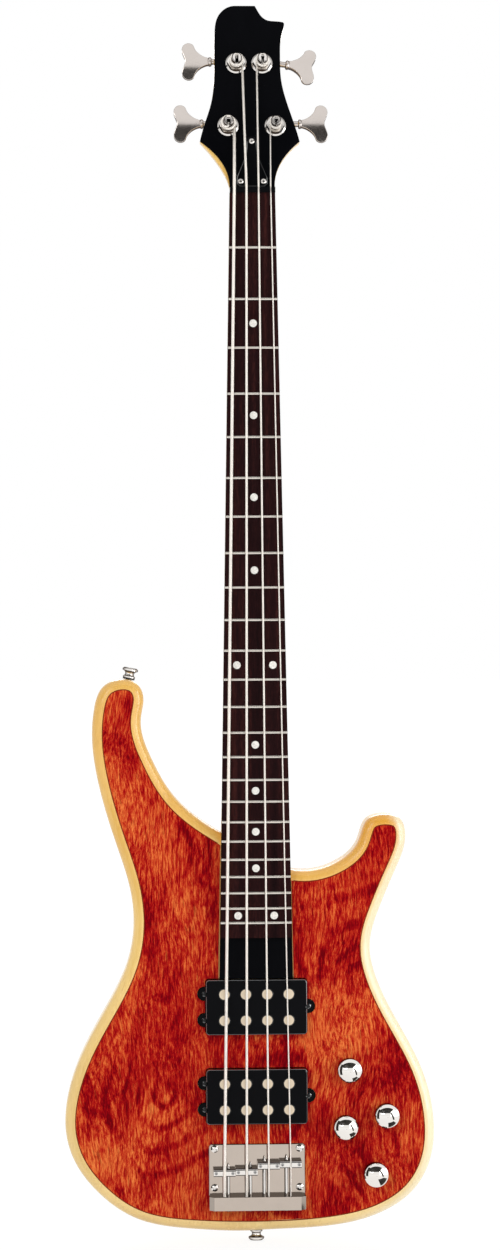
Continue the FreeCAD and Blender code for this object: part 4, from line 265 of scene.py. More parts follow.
# %% Lamps
# Place, aim, and width and height in metres, then power in watts.
LAMPS = {
    "key_softbox": ((-2.2, -3.2, 1.3), (0, 0, -0.4), (2.0, 2.0), 62),
    "fill_softbox": ((2.6, -2.8, 0.2), (0, 0, -0.5), (2.4, 2.4), 28),
    "treble_softbox": ((2.0, -0.35, -0.55), (0, 0, -0.6), (1.4, 1.4), 8),
    "edge_strip": ((1.7, -0.8, -0.25), (0, 0, -0.5), (0.25, 1.3), 7),
    "back_softbox": ((0.4, 3.2, 1.6), (0, 0, -0.4), (2.4, 2.4), 60),
}
for name, (place, aim, size, power) in LAMPS.items():
    data = bpy.data.lights.new(name, "AREA")
    data.shape = "RECTANGLE"
    data.size, data.size_y = size
    data.energy = power
    piece = bpy.data.objects.new(name, data)
    piece.location = place
    piece.rotation_euler = (Vector(aim) - Vector(place)).to_track_quat("-Z", "Y").to_euler()
    scene.collection.objects.link(piece)
print("lamps:", list(LAMPS))

# %% [markdown]
# ## Shared surface effects
#
# Three effects serve many finishes, so each is a node group with named sockets. Wood figure bends a
# stretched noise with a slower one, so the grain runs along the neck and swirls. Polish marks vary the
# roughness of plating and scratch it lightly. Handling gives lacquer and plastic a soft uneven sheen.

# %% Pattern helpers
def noise(tree, vector, scale, detail=4.0, rough=0.55, distort=0.0, output="Fac"):
    """Fractal noise on a vector, as a value or a colour."""
    node = tree.nodes.new("ShaderNodeTexNoise")
    set_plain(node, {"Scale": scale, "Detail": detail, "Roughness": rough, "Distortion": distort})
    join(tree, vector, node.inputs["Vector"])
    return node.outputs[output]


def stretch(tree, vector, scale, place=(0, 0, 0), lean=0.0):
    """Scale a vector along its axes, lean it about X and move it to a place."""
    node = tree.nodes.new("ShaderNodeMapping")
    set_plain(node, {"Scale": scale, "Rotation": (lean, 0, 0), "Location": place})
    join(tree, vector, node.inputs["Vector"])
    return node.outputs["Vector"]


def ramp(tree, value, stops):
    """Colour ramp through (position, colour) stops."""
    node = tree.nodes.new("ShaderNodeValToRGB")
    while len(node.color_ramp.elements) < len(stops):
        node.color_ramp.elements.new(0.5)
    for element, (position, colour) in zip(node.color_ramp.elements, stops):
        element.position = position
        element.color = (*colour, 1)
    join(tree, value, node.inputs["Fac"])
    return node.outputs["Color"]


def blend_colours(tree, factor, first, second):
    """Mix two colours, each a socket or a plain colour, by a factor socket.

    Sockets 0, 6 and 7 of the node are the factor and the two colours, and output 2 is the mixed colour.
    """
    node = tree.nodes.new("ShaderNodeMix")
    node.data_type = "RGBA"
    for number, value in ((0, factor), (6, first), (7, second)):
        feed(tree, value, node.inputs[number])
    return node.outputs[2]


def weighted_sum(tree, pairs, base=0.0):
    """A base number plus each socket times its weight."""
    total = base
    for socket, weight in pairs:
        total = maths(tree, "ADD", maths(tree, "MULTIPLY", socket, weight), total)
    return total


def bump(tree, height, strength, distance, shader):
    """Bump from a height onto a shader's normal."""
    node = tree.nodes.new("ShaderNodeBump")
    set_plain(node, {"Strength": strength, "Distance": distance})
    join(tree, height, node.inputs["Height"])
    join(tree, node.outputs["Normal"], shader.inputs["Normal"])


def split(tree, vector):
    """The X, Y and Z of a vector, as sockets."""
    node = tree.nodes.new("ShaderNodeSeparateXYZ")
    join(tree, vector, node.inputs["Vector"])
    return node.outputs


def own_normal(tree):
    """The X, Y and Z of the piece's own normal, which turns with the piece."""
    return split(tree, tree.nodes.new("ShaderNodeTexCoord").outputs["Normal"])


def distances(tree, vector, places, sizes, squash=1.0):
    """How far a point lies from each (across, up) place, in sizes, with the depth left out."""
    found = []
    for (across, up), size in zip(places, sizes):
        scale = (1 / size, 0, squash / size)
        offset = (-across / size, 0, -squash * up / size)
        found.append(vector_maths(tree, "LENGTH", stretch(tree, vector, scale, offset)))
    return found


# %% Group helpers
def new_group(name, values, results):
    """Shader node group with a vector and value inputs and value outputs, and the sockets inside it."""
    group = bpy.data.node_groups.new(name, "ShaderNodeTree")
    group.interface.new_socket("Vector", in_out="INPUT", socket_type="NodeSocketVector")
    for label in values:
        group.interface.new_socket(label, in_out="INPUT", socket_type="NodeSocketFloat")
    for label in results:
        group.interface.new_socket(label, in_out="OUTPUT", socket_type="NodeSocketFloat")
    return group, group.nodes.new("NodeGroupInput").outputs, group.nodes.new("NodeGroupOutput").inputs


def placed(tree, group, vector, **values):
    """Put a group into a material, with its vector joined and its values set."""
    node = tree.nodes.new("ShaderNodeGroup")
    node.node_tree = group
    join(tree, vector, node.inputs["Vector"])
    set_plain(node, {label.title(): number for label, number in values.items()})
    return node


print("group helpers ready, with", len(bpy.data.materials), "studio and frame materials so far")

# %% Wood figure group
tree, given, made = new_group(
    "wood_figure", ["Swirl", "Fineness", "Lift"], ["Figure", "Rings", "Streak", "Pores"])
wood_figure = tree
RING_COUNT = 50.0

# A slow noise pulls the grain sideways.
slow = noise(tree, stretch(tree, given["Vector"], (1, 1, 0.6)), 9.0, 2.0, output="Color")
pull = vector_maths(tree, "SCALE", vector_maths(tree, "SUBTRACT", slow, (0.5, 0.5, 0.5)), given["Swirl"])
bent = vector_maths(tree, "ADD", given["Vector"], pull)
fine = vector_maths(tree, "SCALE", bent, given["Fineness"])

# Contour lines of lifted layers, broken into patches.
layers = noise(tree, stretch(tree, bent, (1, 1, 0.5)), 8.0, 1.0, 0.5, 0.6)
heights = maths(tree, "ADD", layers, given["Lift"])
rings = maths(tree, "SINE", maths(tree, "MULTIPLY", heights, RING_COUNT))
patches = ranged(tree, noise(tree, bent, 17.0, 2.0), 0.42, 0.62)
join(tree, maths(tree, "MULTIPLY", ranged(tree, rings, 0.2, 0.95), patches), made["Rings"])

# Broad figure, long fine streaks, and short dark pores.
join(tree, noise(tree, stretch(tree, fine, (1, 1, 0.45)), 14.0, 3.0, 0.55, 1.2), made["Figure"])
join(tree, noise(tree, stretch(tree, fine, (1, 1, 0.13)), 620.0, 6.0, 0.80), made["Streak"])
dashes = noise(tree, stretch(tree, fine, (1, 1, 0.045)), 900.0, 2.0, 0.5)
join(tree, ranged(tree, dashes, 0.60, 0.70), made["Pores"])
print("wood figure has", len(wood_figure.nodes), "nodes")

# %% Polish and handling groups
tree, given, made = new_group("polish_marks", ["Base", "Spread"], ["Roughness", "Height"])
polish_marks = tree
haze = noise(tree, given["Vector"], 120.0, 3.0)
uneven = maths(tree, "MULTIPLY", haze, given["Spread"])
join(tree, maths(tree, "ADD", uneven, given["Base"]), made["Roughness"])
join(tree, noise(tree, stretch(tree, given["Vector"], (1, 1, 0.05)), 2600.0, 2.0), made["Height"])

tree, given, made = new_group("handling", ["Base", "Spread"], ["Roughness", "Smear", "Height"])
handling = tree
smear = noise(tree, stretch(tree, given["Vector"], (1, 1, 0.5)), 42.0, 5.0, 0.6, 0.8)
uneven = maths(tree, "MULTIPLY", ranged(tree, smear, 0.35, 0.75), given["Spread"])
join(tree, maths(tree, "ADD", uneven, given["Base"]), made["Roughness"])
join(tree, smear, made["Smear"])
join(tree, noise(tree, given["Vector"], 160.0, 2.0), made["Height"])
print("node groups:", [group.name for group in (wood_figure, polish_marks, handling)])

# %% [markdown]
# ## Wood finishes
#
# The top is a hard red-brown wood with swirling figure: dark wine in the troughs, orange on the crests,
# fine streaks and short pores along the grain, all under gloss. Dark contour lines circle a few eyes, as
# where a saw cuts through a burl, so each eye lifts the layers that the lines are drawn from. The core and
# neck are pale maple that lacquer has turned amber, paler to the tail and honey brown on the horns. The rim
# that faces the treble side carries a painted highlight: a pale glare. The fingerboard is dark, oiled and
# nearly matt.

# %% Figured red top
# Eyes of the figure: across and up, and the half size of each swirl, in metres.
EYES = [(-0.082, -0.800), (-0.070, -0.588), (0.083, -0.690), (-0.105, -0.690), (0.060, -0.880)]
EYE_SIZES = [0.036, 0.045, 0.050, 0.040, 0.045]
EYE_SQUASH, EYE_REACH, EYE_LIFT = 0.75, 1.6, 0.42
RED_STAIN = [
    (0.25, (0.135, 0.0003, 0.003)), (0.38, (0.250, 0.0004, 0.004)), (0.46, (0.330, 0.0030, 0.004)),
    (0.54, (0.415, 0.0130, 0.007)), (0.64, (0.530, 0.0450, 0.014)), (0.75, (0.660, 0.120, 0.028)),
    (0.88, (0.780, 0.200, 0.048))]
RED_PORE = (0.090, 0.001, 0.001)

figured_top, tree, shader, _ = new_material("figured_top_lacquer")
vector = object_vector(tree)
wood = placed(tree, wood_figure, vector, swirl=0.045, fineness=1.0)
near_eyes = distances(tree, vector, EYES, EYE_SIZES, EYE_SQUASH)
lifts = [(ranged(tree, near, 0.0, EYE_REACH, EYE_LIFT, 0.0), 1.0) for near in near_eyes]
join(tree, weighted_sum(tree, lifts), wood.inputs["Lift"])
up = split(tree, vector)["Z"]
tone = weighted_sum(tree, [
    (ranged(tree, wood.outputs["Figure"], 0.32, 0.68), 0.36),
    (ranged(tree, wood.outputs["Streak"], 0.38, 0.62), 0.47),
    (wood.outputs["Rings"], -0.21),
    # Darker on the horns, brighter at the tail.
    (ranged(tree, up, -0.64, -0.46), -0.08),
    (ranged(tree, up, -0.86, -0.91), 0.09)], base=0.145)
pores = maths(tree, "MULTIPLY", wood.outputs["Pores"], 0.55)
colour = blend_colours(tree, pores, ramp(tree, tone, RED_STAIN), RED_PORE)
join(tree, colour, shader.inputs["Base Color"])
gloss = placed(tree, handling, vector, base=0.20, spread=0.10)
join(tree, gloss.outputs["Roughness"], shader.inputs["Roughness"])
set_plain(shader, {"Specular IOR Level": 0.02})
bump(tree, wood.outputs["Streak"], 0.06, 0.0004, shader)
print("red top with", len(EYES), "eyes and", len(tree.nodes), "nodes")

# %% Amber maple
AMBER = [(0.30, (0.600, 0.325, 0.064)), (0.47, (0.785, 0.485, 0.125)),
         (0.62, (0.865, 0.585, 0.188)), (0.78, (0.905, 0.665, 0.265))]
PALE_TAIL, HONEY = (0.87, 0.70, 0.34), (0.71, 0.33, 0.030)
# Painted highlight: the pale glare that light from the treble side leaves on the rim.
PAINTED_TREBLE_GLARE, MAPLE_PORE = (0.90, 0.82, 0.60), (0.42, 0.20, 0.05)


def maple_finish(name, honey):
    """Amber maple, paler to the tail, with a share of honey on the horns and a painted highlight on the
    treble rim.
    """
    material, tree, shader, _ = new_material(name)
    vector = object_vector(tree)
    wood = placed(tree, wood_figure, vector, swirl=0.02, fineness=0.8)
    tone = weighted_sum(tree, [(wood.outputs["Figure"], 0.6), (wood.outputs["Streak"], 0.4)])
    spot = split(tree, vector)
    front = ranged(tree, spot["Y"], 0.013, 0.020, 1.0, 0.0)
    to_tail = ranged(tree, spot["Z"], -0.62, -0.84, 0.0, 0.5)
    colour = blend_colours(tree, to_tail, ramp(tree, tone, AMBER), PALE_TAIL)
    if honey:
        horns = maths(tree, "MULTIPLY", ranged(tree, spot["Z"], -0.65, -0.57, 0.0, honey), front)
        horns = maths(tree, "MULTIPLY", horns, ranged(tree, spot["X"], -0.03, 0.06, 0.33, 1.0))
        colour = blend_colours(tree, horns, colour, HONEY)
    # Painted highlight: the rim that faces the treble side turns pale, as in a glare of light from that side.
    rim = maths(tree, "MULTIPLY", ranged(tree, spot["X"], 0.05, 0.08), front)
    rim = maths(tree, "MULTIPLY", rim, ranged(tree, own_normal(tree)["X"], 0.0, 0.35, 0.0, 0.7))
    colour = blend_colours(tree, rim, colour, PAINTED_TREBLE_GLARE)
    pores = maths(tree, "MULTIPLY", wood.outputs["Pores"], 0.18)
    join(tree, blend_colours(tree, pores, colour, MAPLE_PORE), shader.inputs["Base Color"])
    gloss = placed(tree, handling, vector, base=0.22, spread=0.10)
    join(tree, gloss.outputs["Roughness"], shader.inputs["Roughness"])
    set_plain(shader, {"Coat Weight": 0.35, "Coat Roughness": 0.08})
    bump(tree, wood.outputs["Streak"], 0.05, 0.0004, shader)
    return material


neck_maple = maple_finish("amber_neck_maple", 0.0)
body_maple = maple_finish("amber_body_maple", 0.9)
print("maple finishes:", neck_maple.name, body_maple.name)

# %% Oiled fingerboard
BOARD_STAIN = [(0.34, (0.006, 0.0015, 0.002)), (0.50, (0.016, 0.004, 0.0045)), (0.66, (0.052, 0.013, 0.011))]
BOARD_PORE = (0.006, 0.003, 0.003)

board_wood, tree, shader, _ = new_material("oiled_board")
vector = object_vector(tree)
wood = placed(tree, wood_figure, vector, swirl=0.004, fineness=1.3)
bands = noise(tree, stretch(tree, vector, (1, 1, 0.02)), 110.0, 2.0)
tone = weighted_sum(tree, [(wood.outputs["Streak"], 0.5), (bands, 0.5)])
pores = maths(tree, "MULTIPLY", wood.outputs["Pores"], 0.6)
colour = blend_colours(tree, pores, ramp(tree, tone, BOARD_STAIN), BOARD_PORE)
join(tree, colour, shader.inputs["Base Color"])
gloss = placed(tree, handling, vector, base=0.42, spread=0.15)
join(tree, gloss.outputs["Roughness"], shader.inputs["Roughness"])
set_plain(shader, {"Specular IOR Level": 0.04})
bump(tree, wood.outputs["Streak"], 0.12, 0.0003, shader)
print("board finish:", board_wood.name)

# %% [markdown]
# ## Black, metal and small finishes
#
# The head face, heel, pickup covers and nut are gloss black, a little uneven in sheen, with edges that
# handling has rubbed bright. Tuners, bridge and knobs are warm nickel-chrome plate, whose walls and corners
# are painted dark as a painted reflection of the dark around them. A mask of each piece's own normal finds
# edges and walls, so it stays true from every side. Strings are round-wound wire, shown by a ripple along
# their own UV length, with painted shade in the troughs between the turns.
# Pearl dots, felt washers and the hidden copper coils finish the list.

# %% Black finishes
def turned_away(tree, start, end):
    """Mask of a piece's walls: 0 where its own normal looks along Y, either way, and 1 at its sides."""
    return ranged(tree, maths(tree, "ABSOLUTE", own_normal(tree)["Y"]), start, end)


def black_finish(name, colour, rough, spread, shine):
    """Gloss black whose sheen and tone vary with handling, rubbed bright on its rounded edges."""
    material, tree, shader, _ = new_material(name)
    sheen = placed(tree, handling, object_vector(tree), base=rough, spread=spread)
    lifted = tuple(1.7 * part + 0.0006 for part in colour)
    join(tree, blend_colours(tree, sheen.outputs["Smear"], colour, lifted), shader.inputs["Base Color"])
    join(tree, sheen.outputs["Roughness"], shader.inputs["Roughness"])
    join(tree, turned_away(tree, 0.97, 0.75), shader.inputs["Coat Weight"])
    set_plain(shader, {"Specular IOR Level": shine, "Coat IOR": 3.0, "Coat Roughness": 0.12})
    bump(tree, sheen.outputs["Height"], 0.03, 0.0003, shader)
    return material


black_lacquer = black_finish("black_head_lacquer", (0.0013, 0.0014, 0.0020), 0.16, 0.10, 0.02)
black_cover = black_finish("black_pickup_plastic", (0.0015, 0.0016, 0.0022), 0.18, 0.12, 0.05)
black_satin = black_finish("black_satin_cover", (0.012, 0.012, 0.013), 0.42, 0.12, 0.25)
black_screw = black_finish("black_screw_oxide", (0.006, 0.006, 0.007), 0.22, 0.15, 0.30)
print("black finishes:", [finish.name for finish in (black_lacquer, black_cover, black_satin, black_screw)])

# %% Plated and plain metal
EDGE_TINT = (0.45, 0.42, 0.40)
BRIGHT, BRIGHT_TINT = (0.86, 0.825, 0.785), (0.79, 0.755, 0.715)


def metal_finish(name, colour, tint, rough, spread, depth, sides=None, start=0.90, end=0.45):
    """Metal whose colour drifts to a tint, darkens at grazing edges and is lightly scratched.

    A sides colour is painted on the walls and corners: a painted reflection of the dark around the metal.
    """
    material, tree, shader, _ = new_material(name)
    vector = object_vector(tree)
    marks = placed(tree, polish_marks, vector, base=rough, spread=spread)
    plated = blend_colours(tree, noise(tree, vector, 60.0, 2.0), colour, tint)
    # Painted reflection: the walls and corners take the dark sides colour.
    if sides:
        plated = blend_colours(tree, turned_away(tree, start, end), plated, sides)
    join(tree, plated, shader.inputs["Base Color"])
    join(tree, marks.outputs["Roughness"], shader.inputs["Roughness"])
    set_plain(shader, {"Metallic": 1.0, "Specular Tint": EDGE_TINT})
    bump(tree, marks.outputs["Height"], depth, 0.00005, shader)
    return material


# Each sides colour below is a painted reflection of the dark around the plating, on its walls and corners.
chrome_plate = metal_finish("warm_chrome_plate", BRIGHT, BRIGHT_TINT, 0.04, 0.06, 0.02,
                            sides=(0.18, 0.16, 0.145), start=0.92, end=0.50)
key_chrome = metal_finish("key_chrome_plate", (0.70, 0.64, 0.60), (0.63, 0.575, 0.535), 0.11, 0.05, 0.02,
                          sides=(0.12, 0.10, 0.09), start=0.88, end=0.55)
knob_chrome = metal_finish("knob_chrome_plate", (0.88, 0.85, 0.81), (0.82, 0.79, 0.75), 0.03, 0.04, 0.02,
                           sides=(0.10, 0.08, 0.07), start=0.50, end=0.34)
bridge_chrome = metal_finish("bridge_chrome_plate", (0.57, 0.49, 0.425), (0.50, 0.43, 0.37), 0.05, 0.04, 0.02,
                             sides=(0.16, 0.145, 0.13))
saddle_chrome = metal_finish("saddle_chrome_plate", BRIGHT, BRIGHT_TINT, 0.05, 0.05, 0.02,
                             sides=(0.10, 0.09, 0.085))
post_chrome = metal_finish("post_chrome_plate", BRIGHT, BRIGHT_TINT, 0.04, 0.06, 0.02,
                           sides=(0.07, 0.06, 0.055), start=0.94, end=0.70)
nickel_wire = metal_finish("nickel_fret_wire", (0.84, 0.79, 0.72), (0.76, 0.71, 0.64), 0.22, 0.12, 0.04)
pole_steel = metal_finish("nickel_pole_face", (0.80, 0.68, 0.52), (0.72, 0.60, 0.45), 0.34, 0.14, 0.06)
plain_steel = metal_finish("plain_steel", (0.50, 0.49, 0.48), (0.42, 0.41, 0.40), 0.28, 0.14, 0.06)
coil_copper = metal_finish("coil_copper", (0.62, 0.27, 0.12), (0.50, 0.20, 0.09), 0.35, 0.15, 0.2)
print("metal finishes use", polish_marks.users, "sets of polish marks")

# %% Painted shade in the slots of the tuner posts
HEAD_TILT = math.radians(10)
NUT_THICKNESS, POST_HEIGHT, SLOT_REACH = 5.0, 17.5, 3.5
# Where the painted shade of a slot begins and is full, in mm below the top of its post.
SHADE_FROM, SHADE_FULL = 0.3, 0.7
# Posts on the head in mm: across, and up along its face.
POSTS = {"e": (-20.8, 57.5), "a": (-12.9, 115.8), "d": (10.2, 115.8), "g": (21.4, 57.5)}
PAINTED_SLOT_SHADE = (0.008, 0.007, 0.006)

tree = post_chrome.node_tree
shader = tree.nodes["Principled BSDF"]
shift = np.array([0, math.sin(HEAD_TILT), -math.cos(HEAD_TILT)]) * NUT_THICKNESS
on_head = stretch(tree, object_vector(tree), (1 / MM,) * 3, shift, HEAD_TILT)
nearest, *others = distances(tree, on_head, POSTS.values(), [SLOT_REACH] * len(POSTS))
for near in others:
    nearest = maths(tree, "MINIMUM", nearest, near)
# Painted shade: each slot turns dark below the top of its post, where its depth lies in shade.
sunk = ranged(tree, split(tree, on_head)["Y"], SHADE_FROM - POST_HEIGHT, SHADE_FULL - POST_HEIGHT)
inside = maths(tree, "MULTIPLY", ranged(tree, nearest, 1.0, 0.9), sunk)
plated = shader.inputs["Base Color"].links[0].from_socket
join(tree, blend_colours(tree, inside, plated, PAINTED_SLOT_SHADE), shader.inputs["Base Color"])
print("slots darkened on", len(POSTS), "posts")

# %% Wound string wire
string_wire, tree, shader, _ = new_material("round_wound_wire")
along = split(tree, tree.nodes.new("ShaderNodeTexCoord").outputs["UV"])["Y"]
wrap = maths(tree, "SINE", maths(tree, "MULTIPLY", along, 2 * math.pi))
tarnish = noise(tree, object_vector(tree), 90.0, 3.0)
bright = blend_colours(tree, tarnish, (1.0, 0.95, 0.88), (0.92, 0.86, 0.78))
# Painted shade: the troughs between the turns of the winding are darker.
painted_trough_shade = ranged(tree, wrap, -1.0, -0.2, 0.45, 0.0)
join(tree, blend_colours(tree, painted_trough_shade, bright, (0.42, 0.36, 0.30)), shader.inputs["Base Color"])
set_plain(shader, {"Metallic": 0.3, "Roughness": 0.35})
bump(tree, wrap, 0.5, 0.0001, shader)
print("string finish:", string_wire.name)

# %% Pearl, felt and foam
PEARL = [(0.35, (0.66, 0.64, 0.60)), (0.55, (0.84, 0.82, 0.76)), (0.72, (0.92, 0.90, 0.85))]

pearl, tree, shader, _ = new_material("pearl_inlay")
cloud = noise(tree, object_vector(tree), 420.0, 3.0, 0.6, 1.5)
join(tree, ramp(tree, cloud, PEARL), shader.inputs["Base Color"])
set_plain(shader, {"Roughness": 0.2, "Coat Weight": 0.3})


def soft_finish(name, colour, scale):
    """Matt fibre or foam: fine noise in tone and height."""
    material, tree, shader, _ = new_material(name)
    fibre = noise(tree, object_vector(tree), scale, 4.0, 0.7)
    lifted = tuple(2.2 * part for part in colour)
    join(tree, blend_colours(tree, fibre, colour, lifted), shader.inputs["Base Color"])
    set_plain(shader, {"Roughness": 0.95, "Sheen Weight": 0.3})
    bump(tree, fibre, 0.6, 0.0003, shader)
    return material


felt_cloth = soft_finish("felt_washer_cloth", (0.010, 0.010, 0.010), 2500.0)
foam_pad = soft_finish("foam_pad", (0.020, 0.020, 0.022), 1400.0)
print("small finishes:", pearl.name, felt_cloth.name, foam_pad.name)

# %% [markdown]
# ## Finishes onto the solid pieces
#
# Most of the hardware already has its true shape in the frame, so each solid only takes a finish in its
# material slots. The table below reads like a parts list: finish, then the pieces that carry it.

# %% Dress the solid pieces
LETTERS = "eadg"
DRESS = [
    (body_maple, ["body_core"]),
    (neck_maple, ["neck"]),
    (figured_top, ["body_top"]),
    (board_wood, ["fingerboard"]),
    (black_lacquer, ["headstock_face", "heel_face"]),
    (black_cover, ["neck_pickup_cover", "bridge_pickup_cover", "truss_rod_cover", "nut"]),
    (black_satin, ["control_cover"]),
    (black_screw, ["pickup_screws"]),
    (knob_chrome, ["neck_volume_knob", "bridge_volume_knob", "bass_knob", "treble_knob"]),
    (chrome_plate, ["tuner_housings", "strap_buttons", "output_jack", "neck_ferrules"]),
    (key_chrome, ["tuner_key_" + letter for letter in LETTERS]),
    (post_chrome, ["tuner_bushings", *["tuner_post_" + letter for letter in LETTERS]]),
    (bridge_chrome, ["bridge_plate"]),
    (saddle_chrome, ["bridge_screws", "truss_cover_screws", *["saddle_" + letter for letter in LETTERS],
                     *["intonation_screw_" + letter for letter in LETTERS]]),
    (nickel_wire, ["frets", "tuner_screws", "control_cover_screws", "neck_screws", "strap_button_screws"]),
    (pole_steel, ["pickup_poles"]),
    (plain_steel, ["truss_rod", "potentiometers", *["height_screws_" + letter for letter in LETTERS],
                   *["string_" + letter for letter in LETTERS]]),
    (pearl, ["position_dots"]),
    (coil_copper, ["pickup_coils"]),
    (foam_pad, ["pickup_foam"]),
    (felt_cloth, ["strap_felts"]),
]
for material, names in DRESS:
    for name in names:
        slots = nodes[name].data.materials
        slots.clear()
        slots.append(material)
print("dressed", sum(len(names) for _, names in DRESS), "solid pieces")

# %% [markdown]
# ## Strings
#
# Each string is one wound wire: a ball end in the tail block, a straight run over saddle and nut, turns
# on its post and a last bend into the slot. A tube is a circle carried along a path. The path is straight
# runs with short curved corners, then a helix. The turns go with the post, so a tuner can turn without
# tearing its string. The run is parted on the saddle's crest into two pieces.

# %% Tubes
def carried_circle(path, radius, up, sides=12):
    """Tube: each path point plus radius times (cos a times normal plus sin a times binormal).

    The normal is the up vector with its part along the path taken out, the binormal is square to both.
    Two radii, along normal and binormal, make the circle an ellipse. Both ends close on the path.
    """
    high, wide = np.broadcast_to(radius, 2)
    along = np.gradient(path, axis=0)
    along /= np.linalg.norm(along, axis=1)[:, None]
    normal = np.array(up) - (along @ np.array(up))[:, None] * along
    normal /= np.linalg.norm(normal, axis=1)[:, None]
    binormal = np.cross(along, normal)
    angle = np.linspace(0, 2 * np.pi, sides, endpoint=False)[None, :, None]
    rings = path[:, None] + high * np.cos(angle) * normal[:, None] + wide * np.sin(angle) * binormal[:, None]
    ends = np.repeat(path[[0, -1], None], sides, axis=1)
    length = np.concatenate([[0], np.cumsum(np.linalg.norm(np.diff(path, axis=0), axis=1))])
    return np.concatenate([ends[:1], rings, ends[1:]]), np.concatenate([[0], length, length[-1:]])


def parted(grid, row):
    """Two tubes from one, cut at a ring, each closed there on the ring's middle."""
    rings, length = grid
    cap = np.repeat(rings[row].mean(0)[None, None], rings.shape[1], axis=1)
    first = np.concatenate([rings[:row + 1], cap]), np.append(length[:row + 1], length[row])
    second = np.concatenate([cap, rings[row:]]), np.append(length[row], length[row:])
    return first, second


def lathe(profile, centre, sides=24):
    """Turned form about Z: (radius, height) carried round a circle, with its ends closed on the axis."""
    profile = np.array(profile, float)
    angle = np.linspace(0, 2 * np.pi, sides, endpoint=False)[None, :]
    x, y = profile[:, :1] * np.cos(angle), profile[:, :1] * np.sin(angle)
    rings = np.stack([x, y, np.repeat(profile[:, 1:], sides, axis=1)], -1) + np.array(centre)
    return rings * MM, np.zeros(len(profile))


rod_rings, _ = carried_circle(np.eye(3)[:2], 0.1, (0, 0, 1))
print("a rod of 2 points becomes", len(rod_rings), "rings with its closed ends")

# %% Meshes from ring grids
def ring_faces(rows, sides):
    """Quads between neighbouring rings of a grid that closes round its sides."""
    row, side = np.meshgrid(np.arange(rows - 1), np.arange(sides), indexing="ij")
    here, ahead = row * sides + side, row * sides + (side + 1) % sides
    return np.stack([here, ahead, ahead + sides, here + sides], -1).reshape(-1, 4)


def surface_piece(name, grids, material, winding_pitch=1.0):
    """One smooth mesh from closed ring grids, with UV: turns round, and length over a pitch along."""
    points, faces, uvs, offset = [], [], [], 0
    for rings, length in grids:
        rows, sides = rings.shape[:2]
        points.append(rings.reshape(-1, 3))
        faces.append(ring_faces(rows, sides) + offset)
        row, side = np.meshgrid(np.arange(rows - 1), np.arange(sides), indexing="ij")
        round_turn = np.stack([side, side + 1, side + 1, side], -1) / sides
        run = np.stack([length[row], length[row], length[row + 1], length[row + 1]], -1) / winding_pitch
        uvs.append(np.stack([round_turn, run], -1).reshape(-1, 2))
        offset += rows * sides
    mesh = bpy.data.meshes.new(name)
    mesh.from_pydata(np.concatenate(points).tolist(), [], np.concatenate(faces).tolist())
    mesh.uv_layers.new(name="along").data.foreach_set("uv", np.concatenate(uvs).ravel().astype(np.float32))
    mesh.polygons.foreach_set("use_smooth", np.ones(len(mesh.polygons), bool))
    mesh.materials.append(material)
    mesh.validate()
    piece = bpy.data.objects.new(name, mesh)
    scene.collection.objects.link(piece)
    return piece


print("a tube of 3 rings with 12 sides has", len(ring_faces(3, 12)), "faces")

# %% Runs from ball to post
SCALE_LENGTH = 863.6
# Distances between the outer strings, and the crest of a saddle behind its reference line.
NUT_SPREAD, SADDLE_SPREAD, CREST_BACK = 32.4, 58.8, 3.6
FRET_LEVEL, SADDLE_RISE, BOARD_RADIUS = -7.5, 4.3, 300.0
STRING_HOLE_Y, TAIL_BACK_Z, TAIL_FRONT_Z = -8.2, -901.7, -889.9
# How far the ball's middle, the wire's bend and the nut's last edge lie from the walls around them.
BALL_IN, MOUTH_OUT, NUT_EDGE = 2.0, 1.0, 0.4
CORNER_STEPS, CORNER_REACH = 9, 1.2
# letter: gauge, order across, turns, saddle behind the scale line
STRING_SIZES = {"e": (2.67, 0, 1.75, 5.2), "a": (2.16, 1, 2.25, 4.2), "d": (1.65, 2, 2.75, -1.0),
                "g": (1.14, 3, 3.75, -1.9)}


def quadratic(start, corner, end, share):
    """Curve from start to end: (1 - s) squared, 2 s (1 - s) and s squared times start, corner and end."""
    return (1 - share) ** 2 * start + 2 * share * (1 - share) * corner + share ** 2 * end


def cornered_path(corners):
    """Straight runs whose corners are quadratic curves that start and end a reach away from the corner."""
    corners = np.array(corners, float)
    stretches = [corners[:1]]
    share = np.linspace(0, 1, CORNER_STEPS)[:, None]
    for before, corner, after in zip(corners, corners[1:], corners[2:]):
        start = corner + (before - corner) / np.linalg.norm(before - corner) * CORNER_REACH
        end = corner + (after - corner) / np.linalg.norm(after - corner) * CORNER_REACH
        stretches.append(quadratic(start, corner, end, share))
    return np.concatenate(stretches + [corners[-1:]])


def run_corners(letter):
    """Corners of a run in mm: ball, mouth of the tail block, crest of the saddle, last edge of the nut.

    Nut and saddles follow the board's arch: half of the offset squared, over the radius.
    """
    gauge, order, _, set_back = STRING_SIZES[letter]
    share = order / (len(LETTERS) - 1) - 0.5
    at_nut, at_saddle = share * NUT_SPREAD, share * SADDLE_SPREAD
    nut_level = FRET_LEVEL + at_nut ** 2 / (2 * BOARD_RADIUS) - gauge / 2
    saddle_level = FRET_LEVEL - SADDLE_RISE + at_saddle ** 2 / (2 * BOARD_RADIUS) - gauge / 2
    ball = np.array([at_saddle, STRING_HOLE_Y, TAIL_BACK_Z + BALL_IN])
    mouth = np.array([at_saddle, STRING_HOLE_Y, TAIL_FRONT_Z + MOUTH_OUT])
    over_saddle = np.array([at_saddle, saddle_level, -SCALE_LENGTH - set_back - CREST_BACK])
    over_nut = np.array([at_nut, nut_level, 0])
    line = over_nut - over_saddle
    leave = over_nut + line * ((NUT_THICKNESS - NUT_EDGE) / line[2])
    return [ball, mouth, over_saddle, leave]


